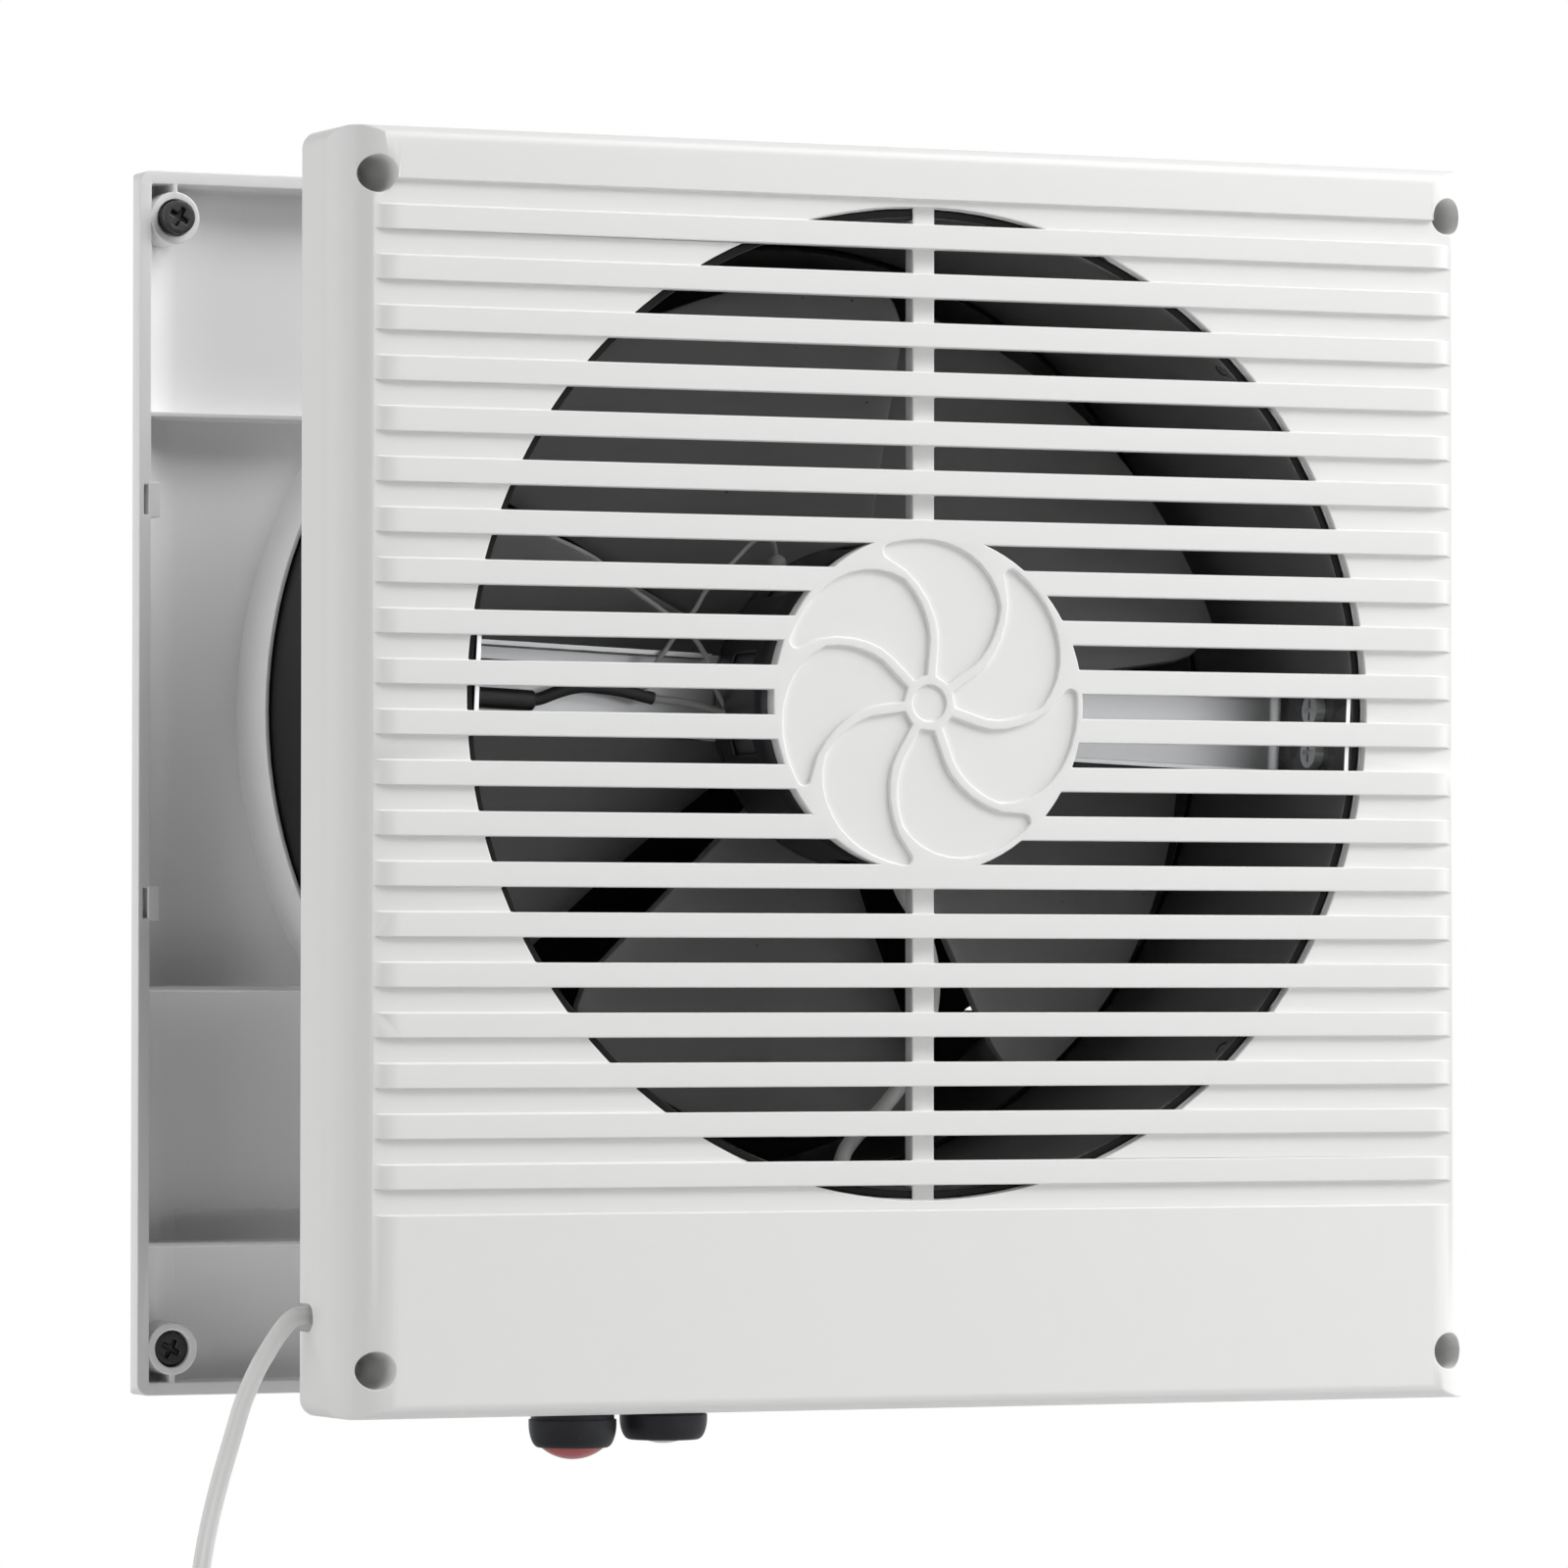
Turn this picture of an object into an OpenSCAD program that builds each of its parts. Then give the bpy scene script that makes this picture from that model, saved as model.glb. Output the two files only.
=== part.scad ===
// Room-to-room fan that stands in a round hole through a wall.
// A slatted front cover holds a black duct sleeve with the motor and impeller.
// A matching rear cover slides along the sleeve to suit the wall's thickness.
// Z is up and X is to the right, seen from the front. The front face looks towards -Y.
// The origin is the middle of the front cover's wall side: the wall begins at Y = 0.

/* [Covers] */
// Width of both covers
cover_w = 290; // [286:1:320]
// Height of both covers
cover_h = 290; // [288:1:320]
// Depth of the front cover, from its face to the wall
front_d = 25.5; // [24:0.5:32]
// Depth of the rear cover, from the wall to its face
rear_d = 16; // [15:0.5:30]
// Round on the left and right edges of the front cover
front_side_r = 14; // [8:0.5:20]
// Round on the left and right edges of the rear cover
rear_side_r = 14; // [8:0.5:14.5]
// Round on the top and bottom edges of both faces
edge_r = 3.5; // [2:0.5:6]
// Round on the corners of the front cover, seen from the front
corner_r = 4; // [3:0.5:9]
// Round on the corners of the rear cover, seen from the front
rear_corner_r = 3; // [2:0.5:9]
// Thickness of the side walls
wall_t = 3.1; // [2:0.1:4]
// Thickness of the face behind its bands
floor_t = 2.6; // [2:0.1:3.5]
// Thickness of the room's wall between the covers
room_wall = 105.5; // [100:0.5:140]

/* [Grille] */
// Number of recessed bands
band_count = 21; // [15:1:22]
// Distance from band to band
band_pitch = 11.33; // [10:0.01:11.4]
// Height of a band
band_h = 5.7; // [5:0.1:7]
// Depth of a band
band_depth = 1.3; // [1:0.1:3]
// Height of the first band's upper edge above the cover's middle
band_top = 132.9; // [131:0.1:135]
// Width of the upright bar behind the slats
bar_w = 5.5; // [4:0.5:9]
// Depth that the slats' backs are let into the upright bar
bar_bite = 0.6; // [0.3:0.1:1.5]
// Thickness of the upright bar
bar_t = 4.2; // [3:0.1:6]

/* [Medallion] */
// Radius of the disc in the middle of the grille
disc_r = 39.3; // [34:0.1:48]
// Number of blade-shaped pockets
petals = 7; // [5:1:9]
// Depth of a pocket
petal_depth = 1; // [0.5:0.1:1.5]
// Half the width of the raised line between two pockets
petal_line = 1.15; // [0.8:0.05:1.8]
// Radius of the ring in the middle
ring_r = 5.3; // [4:0.1:7]
// Radius of the dimple in the ring
dimple_r = 4.2; // [2:0.1:5]

/* [Duct] */
// Height of the duct's axis above the covers' middle
duct_z = 17; // [12:0.5:18]
// Outer radius of the front sleeve
sleeve_r = 114; // [110:0.5:115]
// Wall of the front sleeve
sleeve_t = 2; // [1.5:0.1:3]
// Gap between the front sleeve and what it slides in or over
slide_gap = 0.4; // [0.3:0.05:0.6]
// Wall of the rear sleeve
rear_sleeve_t = 1.4; // [1:0.1:2]
// Length of the rear sleeve
rear_sleeve_l = 60; // [55:1:62]
// Wall of the collars on the covers
collar_t = 1.2; // [0.9:0.1:2]
// Length of the front cover's collar
front_collar_l = 8; // [5:0.5:9]
// Length of the rear cover's collar
rear_collar_l = 18.6; // [12:0.1:22]
// Space left behind the front sleeve's end
sleeve_end_gap = 3; // [2:0.5:6]
// Thickness of the dust filter
filter_t = 5; // [3:0.5:8]

/* [Motor] */
// Length of the strap's arms
strap_arm = 35.2; // [33:0.1:37]
// Height of the strap
strap_h = 20; // [16:0.5:24]
// Thickness of the strap's sheet
strap_t = 1.2; // [1:0.1:2]
// Height of the strap's flanges
flange_h = 6; // [4:0.5:8]
// Turn of the strap about the duct's axis, in degrees
strap_turn = 2.5; // [0:0.5:5]
// Radius of the motor can
can_r = 38; // [36:0.5:39]
// Length of the motor can
can_l = 28.4; // [28:0.1:29]
// Wall of the motor can
can_t = 1.2; // [1:0.1:1.6]
// Radius of the motor shaft
shaft_r = 3; // [2.5:0.1:4]
// Length of the stator stack
stack_l = 14; // [10:0.5:15]
// Distance of the motor bolts from the shaft
bolt_x = 32; // [31:0.5:32.5]
// Gap round the shaft in its bushes
bush_gap = 0.05; // [0.02:0.01:0.1]

/* [Impeller] */
// Gap between the blade tips and the front sleeve
tip_gap = 11; // [8:0.5:17]
// Number of blades
blades = 5; // [3:1:6]
// Angle that a blade covers, in degrees
blade_span = 51; // [40:1:54]
// Depth of a blade at its tip
blade_depth = 27; // [20:0.5:28]
// Depth of a blade at its root
root_depth = 22; // [18:0.5:24]
// Thickness of a blade
blade_t = 2.2; // [1.5:0.1:3]
// Radius of the hub
hub_r = 22; // [18:0.5:26]
// Length of the hub
hub_l = 28; // [26:0.5:30]
// Gap between the strap and the hub
hub_gap = 6.9; // [5.5:0.1:8]
// Angle of the first blade's near edge, counter-clockwise from the right
blade_turn = 8; // [0:1:71]

/* [Push buttons] */
// Place of the first button from the middle
button_x = -83.3; // [-100:0.1:-75]
// Distance between the buttons
button_pitch = 22.5; // [21.5:0.1:30]
// Distance of the buttons in front of the wall
button_y = 12.2; // [11:0.1:13]
// Radius of a bezel
bezel_r = 10; // [9.5:0.1:10.5]
// Height of the first bezel
bezel_h = 6.4; // [5:0.1:8]
// Gap under the cover that the first bezel's neck shows in
neck_h = 1.3; // [0.3:0.1:2]
// Radius of a threaded barrel
barrel_r = 8; // [7.8:0.1:8.4]
// Length of a threaded barrel above the cover's lower face
barrel_l = 17; // [15:0.5:20]
// Radius of a lens
lens_r = 7.35; // [6:0.05:7.4]
// Height that the first lens stands below its bezel
lens_out = 2.4; // [2:0.1:4]
// Travel of a lens
lens_travel = 2; // [1:0.1:3]

/* [Fasteners] */
// Distance of the corner holes from the middle, sideways
hole_x = 136; // [134:0.5:136]
// Distance of the corner holes from the middle, upwards
hole_z = 134; // [132:0.5:134.5]
// Radius of the corner holes
hole_r = 4.25; // [3.8:0.05:4.4]
// Radius of the screw's passage in a corner hole
pass_r = 2.25; // [2.1:0.05:2.6]
// Radius of a corner boss
boss_r = 6.2; // [6.1:0.1:6.6]
// Thickness of the ledge in a corner hole
ledge_t = 3; // [2:0.5:4]
// Radius of a corner screw's head
head_r = 4; // [3.5:0.1:4.2]
// Height of a corner screw's head
head_h = 3.5; // [2.5:0.1:4]
// Radius of the strap and motor screws
screw_r = 1.95; // [1.5:0.05:2]

/* [Cord] */
// Half the width of the mains cord
cord_r = 2.1; // [1.8:0.1:2.6]
// Height of the cord's notch above the front cover's lower edge
notch_up = 22.3; // [20:0.1:26]
// Distance of the cord clamp from the front cover's left edge
clamp_in = 21; // [19:0.5:24]
// Loops in one layer of the put-away coil
coil_turns = 3; // [1:1:3]
// Layers of the put-away coil
coil_layers = 4; // [2:2:4]
// Outer radius of the coil, to the middle of the cord
coil_out_r = 30.5; // [28:0.5:40]
// Gap from turn to turn and from layer to layer
turn_gap = 0.5; // [0.45:0.05:1]

/* [Hidden] */
$fn = 64;

white = "whitesmoke";
black = [0.1, 0.1, 0.11];
steel = [0.72, 0.74, 0.76];
copper = [0.72, 0.43, 0.24];
brass = [0.8, 0.66, 0.36];

eps = 0.01;
touch = 0.02;

// Depths along Y
face_t = band_depth + floor_t;
front_floor_y = -front_d + face_t;
bar_back = face_t - bar_bite;
rear_floor_y = room_wall + rear_d - face_t;
panel_floor_y = -front_d + floor_t;
strap_y = front_floor_y + strap_arm;
can_y = strap_y - strap_t - can_l;
hub_y = strap_y + hub_gap;
sleeve_end_y = rear_floor_y - sleeve_end_gap;

// Radii about the duct's axis
opening_r = sleeve_r + slide_gap;
collar_r = opening_r + collar_t;
sleeve_in_r = sleeve_r - sleeve_t;
rear_sleeve_r = sleeve_in_r - slide_gap;
rear_sleeve_in_r = rear_sleeve_r - rear_sleeve_t;
tip_r = sleeve_in_r - tip_gap;
arm_x = sqrt(sleeve_in_r * sleeve_in_r - strap_h * strap_h / 4) - 0.15;

// Inner stiffening ribs of a cover, as heights above its middle
rib_t = 1.2;
rib_z = [87.3, -48.8, -109.4];
// Clip slots in the left and right rims, as heights above the cover's middle
clip_z = [67, -28.5];
clip_h = 8.4;
clip_d = 6;

notch_z = -cover_h / 2 + notch_up;
notch_w = 2 * cord_r + 2;
notch_d = 8;
cord_y = -5;
panel_top_z = min(band_top - band_pitch * (band_count - 1) - band_h, duct_z - collar_r) - 2;

module along_y(x, z, r, y0, y1, sides = 64) {
    translate([x, y0, z]) rotate([-90, 0, 0]) cylinder(r = r, h = y1 - y0, $fn = sides);
}

module about_duct(r, y0, y1) {
    along_y(0, duct_z, r, y0, y1);
}

module duct_tube(r_out, r_in, y0, y1) {
    difference() {
        about_duct(r_out, y0, y1);
        about_duct(r_in, y0 - 1, y1 + 1);
    }
}

// Turns its children about the duct's axis: their +X points outwards at the angle
module radial(angle) {
    translate([0, 0, duct_z]) rotate([0, -angle, 0]) children();
}

module along_x(r, x0, x1, sides = 48) {
    translate([x0, 0, 0]) rotate([0, 90, 0]) cylinder(r = r, h = x1 - x0, $fn = sides);
}

// Outline that is wide at y = d and has round corners at y = 0
module bowl_outline(w, d, r) {
    translate([-w / 2, r]) square([w, d - r]);
    translate([-w / 2 + r, 0]) square([w - 2 * r, d]);
    for (side = [-1, 1]) translate([side * (w / 2 - r), r]) circle(r);
}

module round_rect(w, h, r) {
    square([w - 2 * r, h], center = true);
    square([w, h - 2 * r], center = true);
    for (i = [-1, 1], j = [-1, 1]) translate([i * (w / 2 - r), j * (h / 2 - r)]) circle(r);
}

// Block with a face at y = 0 and a rim at y = d, rounded on the face's edges
module soft_block(w, h, d, r_side, r_edge, r_corner) {
    intersection() {
        translate([0, 0, -h / 2]) linear_extrude(h) bowl_outline(w, d, r_side);
        rotate([0, -90, 0]) translate([0, 0, -w / 2]) linear_extrude(w) rotate(0)
            union() {
                translate([-h / 2, r_edge]) square([h, d - r_edge]);
                translate([-h / 2 + r_edge, 0]) square([h - 2 * r_edge, d]);
                for (side = [-1, 1]) translate([side * (h / 2 - r_edge), r_edge]) circle(r_edge);
            }
        translate([0, d, 0]) rotate([90, 0, 0]) linear_extrude(d) round_rect(w, h, r_corner);
    }
}

function band_z(i) = band_top - i * band_pitch;

// One flat recess across the face: it runs out where the face rounds off at the sides
module band(i) {
    translate([-cover_w / 2, -1, band_z(i) - band_h]) cube([cover_w, band_depth + 1, band_h]);
}

// The blades of the medallion, in polar form
line_bend = 0.56;
line_start = 15;
shoulder_r = 29;
petal_out_r = disc_r - 1.4;
tail_r = 1.7;
function line_angle(r) = 85 + line_bend * pow(max(0, r - line_start), 1.25);
function polar(r, a) = [r * cos(a), r * sin(a)];
function half_line(r) = atan(petal_line / r);

function petal_points() = let (
        inner = ring_r + 1.2,
        step = 360 / petals,
        tail_c = line_angle(petal_out_r - tail_r) - half_line(petal_out_r) - 2.6,
        a0 = line_angle(shoulder_r) - step + half_line(shoulder_r),
        a1 = tail_c - 1,
        n = 8)
    concat(
        [for (k = [0:n]) let (r = inner + (shoulder_r - inner) * k / n)
            polar(r, line_angle(r) - step + half_line(r))],
        [for (k = [1:n + 2]) let (t = k / (n + 2), a = a0 + (a1 - a0) * t)
            polar(petal_out_r - (petal_out_r - shoulder_r) * pow(1 - t, 2.8), a)],
        [for (k = [1:5]) polar(petal_out_r - tail_r, tail_c) + polar(tail_r, tail_c + 30 * k)],
        [for (k = [1:n]) let (r = petal_out_r - 2 * tail_r - (petal_out_r - 2 * tail_r - inner) * k / n)
            polar(r, line_angle(r) - half_line(r))]);

module petal_pockets() {
    for (k = [0:petals - 1])
        translate([0, petal_depth, duct_z]) rotate([90, 0, 0]) rotate([0, 0, k * 360 / petals])
            linear_extrude(petal_depth + 1) polygon(petal_points());
}

// A corner post: a tube that reaches from the face to the rim, tied to the nearest long wall
module corner_posts(d) {
    for (i = [-1, 1], j = [-1, 1]) {
        along_y(i * hole_x, j * hole_z, boss_r, face_t - 1, d);
        web_z = j > 0 ? hole_z + boss_r - 1 : -cover_h / 2 + wall_t - 1;
        translate([i * hole_x - rib_t / 2, face_t - 1, web_z])
            cube([rib_t, d - face_t + 1, cover_h / 2 - wall_t - hole_z - boss_r + 2]);
    }
}

module corner_holes(d, ledge_y0, ledge_y1) {
    for (i = [-1, 1], j = [-1, 1]) {
        along_y(i * hole_x, j * hole_z, hole_r, -1, ledge_y0);
        along_y(i * hole_x, j * hole_z, pass_r, ledge_y0 - 1, ledge_y1 + 1);
        if (ledge_y1 < d) along_y(i * hole_x, j * hole_z, hole_r + 0.15, ledge_y1, d + 1);
    }
}

// Stiffening ribs behind the face, cut short by the collar
// The lowest one leaves the stretch between break_x0 and break_x1 free for wiring
module inner_ribs(d, break_x0, break_x1) {
    difference() {
        for (z = rib_z) let (y0 = z > panel_top_z ? band_depth + 0.8 : floor_t - 0.8)
            translate([-cover_w / 2, y0, z - rib_t / 2]) cube([cover_w, d - y0, rib_t]);
        about_duct(opening_r + collar_t / 2, -1, d + 1);
        if (break_x1 > break_x0) translate([break_x0, 0, rib_z[2] - rib_t])
            cube([break_x1 - break_x0, 2 * d, 2 * rib_t]);
    }
}

// Tabs on the left and right rims, and the narrow slots beside them
module rim_tabs(d) {
    for (side = [-1, 1], z = clip_z)
        translate([side * (cover_w / 2 - wall_t - 1) - 1.4, d - clip_d, z - clip_h / 2])
            cube([2.8, clip_d, clip_h]);
}

module rim_slots(d) {
    for (side = [-1, 1], z = clip_z)
        translate([side * (cover_w / 2 - wall_t + 1.2) - 0.6, d - 3.2, z - clip_h / 2 + 0.6])
            cube([1.2, 4, clip_h - 1.2]);
}

// The upright bar behind the slats: beyond the slats' backs it stays inside the duct's sleeve
module upright_bar(inside_r) {
    intersection() {
        translate([-bar_w / 2, bar_back, duct_z - opening_r - 2]) cube([bar_w, bar_t, 2 * opening_r + 4]);
        union() {
            about_duct(opening_r + 0.6, 0, face_t);
            about_duct(inside_r, 0, bar_back + bar_t + 1);
        }
    }
}

// One cover moulding with its face at y = 0 and its rim at y = d
module cover(d, side_r, corner, collar_l, ledge_y0, ledge_y1, bar_inside_r, break_x0 = 0, break_x1 = 0) {
    difference() {
        union() {
            difference() {
                soft_block(cover_w, cover_h, d, side_r, edge_r, corner);
                translate([0, face_t, 0])
                    soft_block(cover_w - 2 * wall_t, cover_h - 2 * wall_t, d, side_r - wall_t, 1,
                        max(corner - wall_t, 0.5));
                translate([-cover_w / 2 + side_r, floor_t, -cover_h / 2 + wall_t])
                    cube([cover_w - 2 * side_r, face_t, panel_top_z + cover_h / 2 - wall_t]);
                for (i = [0:band_count - 1]) difference() {
                    band(i);
                    about_duct(disc_r, -2, face_t);
                }
            }
            intersection() {
                union() {
                    corner_posts(d);
                    inner_ribs(d, break_x0, break_x1);
                }
                translate([0, floor_t / 2, 0])
                    soft_block(cover_w - wall_t, cover_h - wall_t, d - floor_t / 2, side_r - wall_t / 2, 2,
                        max(corner - wall_t / 2, 0.5));
            }
            duct_tube(collar_r, opening_r, face_t - 0.5, face_t + collar_l);
            rim_tabs(d);
        }
        intersection() {
            for (i = [0:band_count - 1])
                translate([-cover_w / 2, -1, band_z(i) - band_h]) cube([cover_w, face_t + 2, band_h]);
            difference() {
                about_duct(opening_r - 0.1, -2, face_t + 2);
                about_duct(disc_r, -3, face_t + 3);
            }
        }
        petal_pockets();
        along_y(0, duct_z, dimple_r, -1, petal_depth * 0.7);
        corner_holes(d, ledge_y0, ledge_y1);
        rim_slots(d);
    }
    upright_bar(bar_inside_r);
}

// Places round the duct where the screws that hold a sleeve stand
screw_angles = [45, 135, 225, 315];
sleeve_screw_y = front_floor_y + front_collar_l / 2;
sleeve_screw_r = 1.4;

module button_holes() {
    for (k = [0, 1]) translate([button_x + k * button_pitch, -button_y, -cover_h / 2 - 1])
        cylinder(r = barrel_r + 0.2, h = wall_t + 2);
}

// The clamp that holds the cord stands on the lower panel's inner side
clamp_x = -cover_w / 2 + clamp_in;
clamp_w = 8;
clamp_post_r = 3.2;
clamp_dz = cord_r + clamp_post_r + 3.3;
clamp_top_y = cord_y + cord_r + 0.3;

module front_cover() {
    color(white) difference() {
        union() {
            translate([0, -front_d, 0])
                cover(front_d, front_side_r, corner_r, front_collar_l, front_d - ledge_t, front_d,
                    sleeve_in_r - 0.5, button_x - 28, button_x + button_pitch + 22);
            for (j = [-1, 1])
                along_y(clamp_x, notch_z + j * clamp_dz, clamp_post_r, panel_floor_y - 1.5, clamp_top_y);
            translate([clamp_x - clamp_w / 2, panel_floor_y - 1.5, notch_z - cord_r - 1])
                cube([clamp_w, cord_y - cord_r - 0.3 - panel_floor_y + 1.5, 2 * cord_r + 2]);
        }
        button_holes();
        translate([-cover_w / 2 - 1, -notch_d, notch_z]) rotate([0, 90, 0])
            union() {
                translate([0, notch_w / 2, 0]) cylinder(r = notch_w / 2, h = wall_t + 2);
                translate([-notch_w / 2, notch_w / 2, 0]) cube([notch_w, notch_d, wall_t + 2]);
            }
        for (a = screw_angles) radial(a) translate([0, sleeve_screw_y, 0])
            along_x(sleeve_screw_r + 0.1, sleeve_in_r, collar_r + 2);
        for (j = [-1, 1])
            along_y(clamp_x, notch_z + j * clamp_dz, 1.1 + touch, clamp_top_y - 9, clamp_top_y + 1);
    }
}

// Small ears that fix the rear sleeve to the backs of the slats
ear_z = [band_z(4) + (band_pitch - band_h) / 2, band_z(17) + (band_pitch - band_h) / 2];
ear_r = rear_sleeve_in_r - 4.2;
ear_t = 1.5;
ear_places = [for (z = ear_z, side = [-1, 1])
    [side * sqrt(ear_r * ear_r - pow(z - duct_z, 2)), z]];
ear_screw_r = 1.2;

module rear_cover() {
    color(white) difference() {
        translate([0, room_wall + rear_d, 0]) rotate([0, 0, 180])
            cover(rear_d, rear_side_r, rear_corner_r, rear_collar_l, rear_d - 5 - ledge_t, rear_d - 5,
                rear_sleeve_in_r - 0.5);
        for (p = ear_places) along_y(p[0], p[1], ear_screw_r + touch, rear_floor_y - 1, rear_floor_y + 3.6);
    }
}

module front_sleeve() {
    color(black) difference() {
        duct_tube(sleeve_r, sleeve_in_r, front_floor_y, sleeve_end_y);
        for (a = screw_angles) radial(a) translate([0, sleeve_screw_y, 0])
            along_x(sleeve_screw_r + 0.1, sleeve_in_r - 2, sleeve_r + 2);
        arm_holes(sleeve_in_r - 4, sleeve_r + 2);
        lead_hole();
    }
}

module rear_sleeve() {
    color(black) difference() {
        union() {
            duct_tube(rear_sleeve_r, rear_sleeve_in_r, rear_floor_y - rear_sleeve_l, rear_floor_y);
            intersection() {
                about_duct(rear_sleeve_in_r + rear_sleeve_t / 2, 0, rear_floor_y + 1);
                for (p = ear_places) translate([p[0], rear_floor_y - ear_t, p[1] - 2.6])
                    translate([p[0] > 0 ? -4 : -16, 0, 0]) cube([20, ear_t, 5.2]);
            }
        }
        for (p = ear_places) along_y(p[0], p[1], ear_screw_r + 0.1, rear_floor_y - 5, rear_floor_y + 1);
    }
}

module rear_sleeve_screws() {
    color(steel) for (p = ear_places) {
        along_y(p[0], p[1], ear_screw_r, rear_floor_y - ear_t - eps, rear_floor_y + 3.4);
        along_y(p[0], p[1], 2.4, rear_floor_y - ear_t - 1.6, rear_floor_y - ear_t);
    }
}

module sleeve_screws() {
    color(steel) for (a = screw_angles) radial(a) translate([0, sleeve_screw_y, 0]) {
        along_x(sleeve_screw_r, sleeve_in_r + 0.3, collar_r + 0.5);
        along_x(2.7, collar_r, collar_r + 2);
    }
}

module dust_filter() {
    y1 = rear_floor_y - (bar_t - bar_bite) - 0.1;
    color([0.13, 0.13, 0.14]) difference() {
        about_duct(rear_sleeve_in_r - 0.3, y1 - filter_t, y1);
        for (p = ear_places) along_y(p[0], p[1], 4, y1 - filter_t - 1, y1 + 1);
    }
}

// Cross recess in a screw's head that looks towards -Y
module cross_recess(size, depth) {
    for (a = [30, 120]) rotate([0, a, 0])
        translate([-size / 2, -1, -size / 8]) cube([size, depth + 1, size / 4]);
}

// The rear cover's wall screws wait in its corner posts: the upper two stand proud
proud = 3;
sunk = 1.2;
module rear_screws() {
    ledge_y = room_wall + 5;
    color(black) for (i = [-1, 1], j = [-1, 1]) {
        y0 = j > 0 ? room_wall - proud : room_wall + sunk;
        difference() {
            union() {
                along_y(i * hole_x, j * hole_z, head_r, y0, y0 + head_h);
                along_y(i * hole_x, j * hole_z, pass_r - 0.15, y0 + head_h - eps, ledge_y + ledge_t + 1.5);
            }
            translate([i * hole_x, y0, j * hole_z]) cross_recess(4.8, 1.8);
        }
    }
}

// Holes of the motor strap: two screws in each arm, beside the strap's middle line
arm_screw_y = front_floor_y + 14.2;
arm_screw_z = [-5, 5];
nut_r = 4;
nut_h = 3.2;
module arm_holes(x0, x1) {
    for (end = [0, 180], z = arm_screw_z) radial(end - strap_turn) translate([0, arm_screw_y, z])
        along_x(screw_r + 0.1, x0, x1);
}

module strap_outline(half, y0, y1, r) {
    translate([-half, y0]) square([2 * half, y1 - y0 - r]);
    translate([-half + r, y0]) square([2 * half - 2 * r, y1 - y0]);
    for (side = [-1, 1]) translate([side * (half - r), y1 - r]) circle(r);
}

module motor_strap() {
    bend_r = 3;
    flange_x0 = can_r + 3;
    flange_x1 = arm_x - strap_t - bend_r;
    color(steel) difference() {
        radial(-strap_turn) {
            translate([0, 0, -strap_h / 2]) linear_extrude(strap_h) difference() {
                strap_outline(arm_x, front_floor_y, strap_y, bend_r + strap_t);
                strap_outline(arm_x - strap_t, front_floor_y - 5, strap_y - strap_t, bend_r);
            }
            for (side = [0, 180], j = [-1, 1]) rotate([0, 0, side])
                mirror([0, side > 0 ? 1 : 0, 0])
                    translate([flange_x0, strap_y - strap_t - flange_h, j * (strap_h - strap_t) / 2 - strap_t / 2])
                        cube([flange_x1 - flange_x0, flange_h + eps, strap_t]);
        }
        arm_holes(arm_x - 5, arm_x + 2);
        for (end = [0, 180]) radial(end - strap_turn) translate([bolt_x, strap_y - 5, 0])
            rotate([-90, 0, 0]) cylinder(r = screw_r + 0.1, h = 10, $fn = 32);
        about_duct(bush_boss_r + 0.4, strap_y - 10, strap_y + 10);
    }
}

module strap_screws() {
    color(steel) for (end = [0, 180], z = arm_screw_z) radial(end - strap_turn)
        translate([0, arm_screw_y, z]) difference() {
            union() {
                along_x(screw_r, arm_x - strap_t - eps, sleeve_r + 4);
                along_x(3.7, arm_x - strap_t - 2.4, arm_x - strap_t);
            }
            translate([arm_x - strap_t - 2.4, 0, 0]) cube([2.4, 1, 4.8], center = true);
            translate([arm_x - strap_t - 2.4, 0, 0]) cube([2.4, 4.8, 1], center = true);
        }
}

module strap_nuts() {
    color(steel) for (end = [0, 180], z = arm_screw_z) radial(end - strap_turn)
        translate([0, arm_screw_y, z]) difference() {
            along_x(nut_r, sleeve_r + 0.03, sleeve_r + nut_h, 6);
            along_x(screw_r + touch, sleeve_r - 1, sleeve_r + 5);
        }
}

// The motor's bushes sit in bosses of the can and of the end plate
bush_r = shaft_r + 2;
bush_boss_r = bush_r + 2.4;
end_plate_t = 1.5;
end_y = strap_y - strap_t;
bush_l = 5.5;

module motor_can() {
    round_r = 5;
    color([0.22, 0.22, 0.23]) difference() {
        union() {
            translate([0, can_y, duct_z]) rotate([-90, 0, 0]) rotate_extrude($fn = 96) {
                difference() {
                    union() {
                        square([can_r - round_r, can_l - end_plate_t]);
                        translate([0, round_r]) square([can_r, can_l - end_plate_t - round_r]);
                        translate([can_r - round_r, round_r]) circle(round_r);
                    }
                    translate([0, can_t]) square([can_r - round_r, can_l]);
                    translate([0, round_r]) square([can_r - can_t, can_l]);
                    translate([can_r - round_r, round_r]) circle(round_r - can_t);
                    translate([-2 * can_r, -1]) square([2 * can_r, 2 * can_l]);
                }
            }
            about_duct(bush_boss_r, can_y, can_y + bush_l);
        }
        about_duct(bush_r, can_y - 1, can_y + bush_l + 1);
        for (end = [0, 180]) radial(end - strap_turn) translate([bolt_x, can_y - 5, 0])
            rotate([-90, 0, 0]) cylinder(r = screw_r + 0.1, h = 12, $fn = 32);
        for (k = [0:11]) radial(15 + 30 * k) translate([can_r, can_y + can_l / 2, 0])
            cube([6, 12, 4], center = true);
    }
}

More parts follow.
